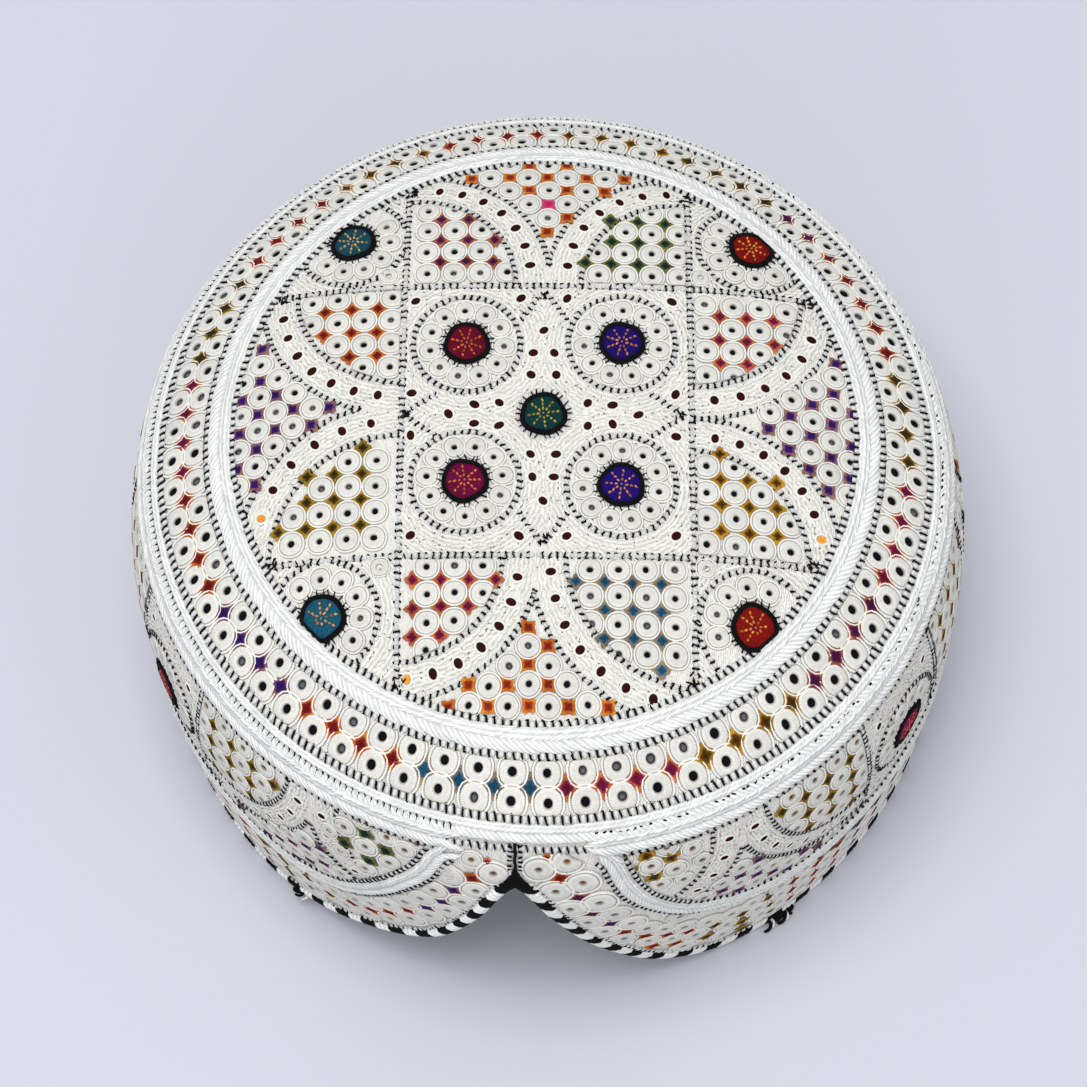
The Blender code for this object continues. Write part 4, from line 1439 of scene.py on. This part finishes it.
def make_border():
    """The border between the arch braid and the edging: eyelets in rows with stars between them."""
    first, last = BORDER_RIGHT[-1][0], BORDER_LEFT[0][0]
    step = (last - first) / BORDER_COUNT
    stars = list(BORDER_RIGHT)
    for k in range(1, BORDER_COUNT):
        near_front = "crimson" if k < 4 else BORDER_HIDDEN[(k // 4) % len(BORDER_HIDDEN)]
        stars.append((first + k * step, BORDER_HEIGHT, near_front))
    stars += BORDER_LEFT
    points = np.array([(arc(a), z) for a, z, _ in stars])
    along = np.gradient(points, axis=0)
    along /= np.hypot(along[:, 0], along[:, 1])[:, None]
    normals = np.stack([-along[:, 1], along[:, 0]], 1)
    for i, (_, _, felt) in enumerate(stars):
        if points[i][1] > 72.0:
            add_star(band_stars, points[i][0], points[i][1] - 1.2, 1.2, felt)
            continue
        for row in range(3):
            s, z = points[i] - normals[i] * BORDER_ROW * row
            gap = HEM_TRACK.gap(np.array([s]), np.array([z]))[0][0]
            if row and gap < 3.6:
                break
            turn = math.atan2(along[i, 1], along[i, 0])
            add_star(band_stars, s, z, 2.55, felt, turn=turn, keep=border_keep)
    for azimuth, height, radius in NOTCH_EYELETS:
        add_eyelet(border_eyelets, band_holes, arc(azimuth), height, radius, squareness=2.3, lining=True)
    for i in range(len(stars) - 1):
        middle = (points[i] + points[i + 1]) / 2
        delta = points[i + 1] - points[i]
        length = math.hypot(*delta)
        angle = math.atan2(delta[1], delta[0])
        normal = np.array((-delta[1], delta[0])) / length
        for row in range(-1, 4):
            s, z = middle + normal * BORDER_ROW * (0.5 - row)
            gap = HEM_TRACK.gap(np.array([s]), np.array([z]))[0][0]
            under = BRAID_TRACK.gap(np.array([s]), np.array([z]))[0][0]
            if gap < 2.4 or under > -BRAID_MARGIN - 0.9:
                continue
            add_eyelet(border_eyelets, band_holes, s, z, 0.5 * max(length, 6.4) * 0.98, turn=angle,
                       squareness=2.3, keep=border_keep, lining=True)


def braid_path():
    """The arch braid's middle line, in points 1 mm apart."""
    azimuths = np.linspace(ARCH_BRAID[0][0], ARCH_BRAID[-1][0], 500)
    path = np.stack([np.radians(azimuths) * WIDEST_RADIUS, [braid_height(a) for a in azimuths]], 1)
    return resample(path, 1.0)[0]


def make_band_lines():
    """Bar stitches along the braids, dashes at the seam, and the small white jags over the edging."""
    right = line(arc(TOP_BRAID_ENDS[0] + 3.4), TOP_LINE, arc(TOP_BRAID_ENDS[1] - 2.2), TOP_LINE, 400)
    bar_line(band_white, band_black, right, width=1.6)
    for path in (line(arc(FRONT) + 0.9, FRONT_LINE, arc(7.6), FRONT_LINE - 0.5, 20),
                 line(arc(346.8), FRONT_LINE - 0.5, arc(FRONT + 360) - 0.9, FRONT_LINE, 20)):
        bar_line(band_white, band_black, path, width=1.9)
    braid = braid_path()
    for offset, limit in ((2.75, TOP_LINE - 1.2), (-2.75, FRONT_LINE - 1.0)):
        for part in runs(offset_path(braid, offset), lambda s, z: z < limit):
            bar_line(band_white, band_black, part, width=1.3, pitch=1.75)
    hem = HEM_TRACK.points
    hem_angles = np.arctan2(-HEM_TRACK.normals[:, 0], HEM_TRACK.normals[:, 1])
    for i in range(0, len(hem) - 1, 2):
        (s, z), angle = hem[i] + HEM_TRACK.normals[i] * rng.uniform(0.5, 0.9), hem_angles[i]
        add_bead(band_white, s, z, angle + 1.2, 0.95, 0.52, 0.5, bright(0.9, 1.0))
        if rng.random() < 0.6:
            add_stitch(band_black, *polar(s, z, 0.8, angle), angle + rng.uniform(0.7, 1.6),
                       rng.uniform(0.5, 1.1), rng.uniform(0.25, 0.38), 0.3, BLACK, lift=0.30)
    dashes, _ = resample(line(arc(TOP_BRAID_ENDS[0]), SEAM_LINE, arc(150.0), SEAM_LINE, 300), 1.75)
    for s, z in dashes:
        if rng.random() < 0.6:
            add_stitch(band_black, s + jitter(0.4), z + jitter(0.12), jitter(0.25),
                       rng.uniform(0.7, 1.3), rng.uniform(0.22, 0.30), 0.4, BLACK, lift=0.70)
    left = line(arc(150.0), SEAM_LINE, arc(TOP_BRAID_ENDS[1]), SEAM_LINE, 400)
    bar_line(band_white, band_black, left, width=1.15, pitch=1.6, lift=0.35)


make_band_quarters()
make_band_v_fields()
make_band_panels()
make_front_fields()
make_border()
make_band_lines()
band_eyelets.build(EYELET_THREAD, "band_cloth")
border_eyelets.build(EYELET_THREAD, "band_cloth")
band_holes.build(HOLE, "black_thread")
band_stars.build(FELT, "felt_crimson")
band_white.build(LOOP_THREAD, "band_cloth")
band_black.build(BLACK_THREAD, "black_thread")
band_rows.build(TWIST_THREAD, "band_cloth")

# Braids

TOP_BRAID_PATH = line(arc(TOP_BRAID_ENDS[0]), TOP_BRAID_HEIGHT, arc(TOP_BRAID_ENDS[1]), TOP_BRAID_HEIGHT, 400)
BRAIDS = (
    # piece, surface, path, width, thickness, node
    ("ring_braid", on_crown, circle(0, 0, 71.1, step=1), 4.0, 0.95, "crown_ring_braid"),
    ("edge_braid", on_crown, circle(0, 0, 87.35, step=1), 2.4, 0.9, "crown_edge_braid"),
    ("top_braid", on_band, TOP_BRAID_PATH, 3.9, 0.95, "band_top_braid"),
    ("arch_braid", on_band, braid_path(), 3.5, 0.9, "band_arch_braid"),
)
for name, surface, path, width, thickness, node in BRAIDS:
    braid = Work(name, surface)
    herringbone(braid, path, width, thickness)
    braid.build(BRAID_THREAD, "white_braid", [node])


# Edging

ROPE_HEIGHT = 3.0
ROPE_WIDTH = 3.6
ROPE_GAP = 0.3
ROPE_PITCH = 4.1              # along the rope, from one whip to the next


def rope_frames():
    """Middle, outward and downward directions of the edging under the cloth's edge, every 0.8 mm or so."""
    azimuths = [FRONT]
    while azimuths[-1] < FRONT + 359.4:
        a = azimuths[-1]
        steep = abs(edge_height(a + 0.25) - edge_height(a - 0.25)) / 0.5
        azimuths.append(a + 0.62 / math.hypot(1.0, steep / 1.66))
    azimuths = np.array(azimuths)
    heights = np.array([edge_height(a) for a in azimuths])
    path = place(band_radius(heights) - WALL / 2, azimuths, heights) / MM
    along = np.roll(path, -1, axis=0) - np.roll(path, 1, axis=0)
    along /= np.linalg.norm(along, axis=1)[:, None]
    a = np.radians(azimuths)
    outward = np.stack([np.sin(a), -np.cos(a), 0 * a], 1)
    down = np.cross(outward, along)
    down /= np.linalg.norm(down, axis=1)[:, None]
    down *= -np.sign(down[:, 2:])
    outward -= along * (outward * along).sum(axis=1)[:, None]
    outward /= np.linalg.norm(outward, axis=1)[:, None]
    middle = path + down * (ROPE_GAP + ROPE_HEIGHT / 2)
    length = np.concatenate([[0.0], np.cumsum(np.linalg.norm(np.diff(path, axis=0), axis=1))])
    return azimuths, middle, outward, down, length


ROPE_FRAMES = rope_frames()
ROPE_AZIMUTHS, ROPE_ALONG = ROPE_FRAMES[0], ROPE_FRAMES[4]
ROPE_LENGTH = ROPE_ALONG[-1] + 0.6


def on_rope(flat):
    """Flat (distance along, angle round from outwards over down, reach from the middle) to points."""
    at = flat[:, 0] % ROPE_LENGTH
    middle, outward, down = (np.stack([np.interp(at, ROPE_ALONG, q[:, k]) for k in range(3)], 1)
                             for q in ROPE_FRAMES[1:4])
    c, s = np.cos(flat[:, 1]), np.sin(flat[:, 1])
    points = middle + outward * (c * flat[:, 2] * ROPE_WIDTH / 2)[:, None]
    points = points + down * (s * flat[:, 2] * ROPE_HEIGHT / 2)[:, None]
    points[:, 2] = np.maximum(points[:, 2], 0.04)
    return points * MM


def make_edging():
    """Rope under the hem: a plain core, closely whipped with black and white thread over the cloth's edge."""
    core = Work("edging_core", on_rope)
    sides, rings = 8, len(ROPE_ALONG)
    angles = np.tile(ring_angles(sides), rings)
    points = np.stack([np.repeat(ROPE_ALONG, sides), angles, np.full(sides * rings, 0.86)], 1)
    quads, uvs = grid_faces(rings, sides, True)
    last, j = (rings - 1) * sides, np.arange(sides)
    after = (j + 1) % sides
    quads = np.concatenate([quads, np.stack([last + j, last + after, after, j], 1)])
    core.add(points, quads, np.concatenate([uvs, np.zeros((sides, 4, 2))]), np.array(THREAD) * 0.8)
    core.build(TWIST_THREAD, "edging_cord", ["hem_edging"])
    white, black = Work("edging_white_whips", on_rope), Work("edging_black_whips", on_rope)
    count = int(ROPE_LENGTH / ROPE_PITCH / 2) * 2
    for k in range(count):
        at = ROPE_LENGTH * k / count + jitter(0.2)
        azimuth = np.interp(at, ROPE_ALONG, ROPE_AZIMUTHS)
        slant = np.interp(azimuth, (70.0, 210.0), (6.6, 0.2))
        at_notch = abs((azimuth - FRONT + 180.0) % 360.0 - 180.0) < 1.5
        work, tint = (black, BLACK) if k % 2 or at_notch else (white, bright(0.95, 1.0))
        for j in (-1, 0, 1):
            add_whip(work, at + j * ROPE_PITCH * 0.31, slant + jitter(0.35), ROPE_PITCH * 0.20, tint)
    white.build(TWIST_THREAD, "edging_cord")
    black.build(BLACK_THREAD, "black_thread")


def add_whip(work, at, slant, half_width, tint):
    """One turn of thread over the rope, from the cloth outside, under the rope, to the cloth inside."""
    turns = np.linspace(-0.62 * np.pi, 1.62 * np.pi, 12)
    share = np.linspace(0, 1, len(turns))
    ends = np.clip(np.minimum(share, 1 - share) * 9, 0.25, 1.0)
    across = np.linspace(-1, 1, 4)
    profile = np.sqrt(np.clip(1.0 - across ** 2, 0, 1)) ** 0.5
    s = at - slant * (share - 0.2)[:, None] + across[None, :] * half_width * ends[:, None]
    angle = turns[:, None] + 0 * across[None, :]
    high = np.where(np.sin(turns) < -0.25, 1.0 + 0.9 * (-np.sin(turns) - 0.25), 1.0)
    reach = (0.92 * high)[:, None] + 0.24 * profile[None, :] * ends[:, None]
    points = np.stack([s, angle, reach], -1).reshape(-1, 3)
    quads, uvs = grid_faces(len(turns), len(across), False)
    work.add(points, quads, uvs, tint)


make_edging()


def in_space(flat):
    return flat * MM


def add_tube(work, path, radius, tint):
    """Round thread along a path in space (n, 3), in millimetres."""
    sides = 6
    along = np.gradient(path, axis=0)
    along /= np.linalg.norm(along, axis=1)[:, None]
    side = np.cross(along, np.array((0.0, 0.0, 1.0)))
    side /= np.maximum(np.linalg.norm(side, axis=1), 1e-9)[:, None]
    top = np.cross(side, along)
    a = 2 * np.pi * np.arange(sides) / sides
    taper = np.ones(len(path))
    taper[0] = taper[-1] = 0.4
    rings = (side[:, None] * np.cos(a)[None, :, None] + top[:, None] * np.sin(a)[None, :, None])
    points = path[:, None] + rings * radius * taper[:, None, None]
    quads, uvs = grid_faces(len(path), sides, True)
    work.add(points.reshape(-1, 3), quads, uvs, tint)


LOOSE_THREADS = (
    # azimuth, length along the rope, reach out from it, turn in half circles, thickness, white
    (31.8, 1.3, 0.60, 1.25, 0.42, False), (34.2, 1.4, 0.62, 1.30, 0.42, False),
    (33.2, 2.6, 0.30, 1.0, 0.75, False), (35.2, 2.2, 0.28, 1.0, 0.70, False),
    (36.0, -1.0, 0.50, 1.1, 0.36, False), (34.9, 1.0, 0.62, 1.2, 0.30, True),
    (32.6, 0.9, 0.55, 1.1, 0.30, True), (321.2, 1.2, 0.45, 1.2, 0.34, False),
    (320.0, 2.4, 0.22, 1.0, 0.65, False), (322.2, 0.9, 0.45, 1.1, 0.28, True),
)


def make_loose_threads():
    """Loops of thread that stand out from the edging."""
    black, white = Work("loose_black_threads", in_space), Work("loose_white_threads", in_space)
    for azimuth, along, out, turns, thickness, pale in LOOSE_THREADS:
        at = np.interp(azimuth, ROPE_AZIMUTHS, ROPE_ALONG)
        turn = np.linspace(0.0, turns * np.pi, 12)
        flat = np.stack([at + along * np.sin(turn), 0.0 + 0 * turn, 0.9 + out * (1 - np.cos(turn))], 1)
        path = on_rope(flat) / MM
        path[:, 2] = np.maximum(path[:, 2] + 0.5 * np.sin(turn), thickness)
        add_tube(white if pale else black, path, thickness, THREAD_BRIGHT if pale else BLACK)
    black.build(BLACK_THREAD, "black_thread")
    white.build(LOOP_THREAD, "edging_cord")


make_loose_threads()


# Seam over the notch

def make_front_seam():
    """Black thread that closes the band's front, with crossed stitches over the notch's point."""
    work = Work("front_seam_threads", on_band)
    seam_loops = Work("front_seam_loops", on_band)
    s0 = arc(FRONT)
    z = np.linspace(66.9, 77.6, 14)
    path = np.stack([s0 + 0.10 * np.sin(z * 1.7), z], 1)
    add_thread(work, path, 0.36, 0.60, 0.30, BLACK)
    for k in range(6):
        for side in (-1, 1):
            z = 69.6 + 1.3 * k + jitter(0.2)
            add_bead(seam_loops, s0 + side * 1.05, z, jitter(0.2), 0.62, 0.52, 0.6, bright(0.93, 1.0))
            add_stitch(work, s0 + side * 1.2, z + 0.65, jitter(0.4), 1.3, 0.34, 0.45, BLACK, lift=0.35)
    for k in range(16):
        t = k / 15
        spread = 3.0 * (1 - t) ** 1.2 + 0.35
        fall = np.linspace(0, 1.0, 5) ** 1.5 * 1.2
        for side in (-1, 1):
            path = np.stack([s0 + side * np.linspace(0.0, spread, 5), 65.6 + 4.6 * t - fall], 1)
            add_thread(work, path, 0.42, 0.60, 0.35 + 0.05 * (k % 3), BLACK)
    work.build(BLACK_THREAD, "black_thread", ["front_seam"])
    seam_loops.build(LOOP_THREAD, "band_cloth")


make_front_seam()


# Camera, floor and light

def make_camera():
    pitch, roll = math.radians(CAMERA_PITCH), math.radians(CAMERA_ROLL)
    forward = Vector((0, math.cos(pitch), -math.sin(pitch)))
    up = Vector((0, math.sin(pitch), math.cos(pitch)))
    right = Vector((1, 0, 0))
    side = right * math.cos(roll) + up * math.sin(roll)
    top = up * math.cos(roll) - right * math.sin(roll)
    camera = bpy.data.objects.new("camera", bpy.data.cameras.new("camera"))
    bpy.context.scene.collection.objects.link(camera)
    at = Vector(CAMERA_AT) * MM
    camera.matrix_world = Matrix((
        (side.x, top.x, -forward.x, at.x), (side.y, top.y, -forward.y, at.y),
        (side.z, top.z, -forward.z, at.z), (0, 0, 0, 1)))
    camera.data.lens = CAMERA_LENS
    camera.data.sensor_width = SENSOR
    bpy.context.scene.camera = camera


def make_floor():
    mesh = bpy.data.meshes.new("floor")
    reach = 4.0
    corners = [(-reach, -reach, 0), (reach, -reach, 0), (reach, reach, 0), (-reach, reach, 0)]
    mesh.from_pydata(corners, [], [(0, 1, 2, 3)])
    floor = bpy.data.objects.new("floor", mesh)
    bpy.context.scene.collection.objects.link(floor)
    material, _, shader = new_material("floor", 0.9)
    shader.inputs["Base Color"].default_value = (0.478, 0.490, 0.545, 1)
    shader.inputs["Specular IOR Level"].default_value = 0.1
    mesh.materials.append(material)


def add_area(name, at, aim, size, power):
    light = bpy.data.objects.new(name, bpy.data.lights.new(name, "AREA"))
    light.data.energy = power
    light.data.size = size
    light.location = at
    light.rotation_euler = (Vector(aim) - Vector(at)).to_track_quat("-Z", "Y").to_euler()
    bpy.context.scene.collection.objects.link(light)


def make_light():
    world = bpy.data.worlds.new("studio")
    bpy.context.scene.world = world
    world.use_nodes = True
    background = world.node_tree.nodes["Background"]
    background.inputs["Color"].default_value = (0.96, 0.97, 1.0, 1)
    background.inputs["Strength"].default_value = 0.68
    add_area("key", (-0.20, -0.12, 1.50), (0, 0, 0.05), 0.80, 17.6)
    add_area("front", (-0.1, -1.5, 0.75), (0, 0, 0.04), 0.9, 6.2)
    add_area("fill", (1.0, -0.6, 0.9), (0, 0, 0.05), 1.0, 1.5)
    bpy.context.scene.view_settings.view_transform = "Standard"


make_camera()
make_floor()
make_light()
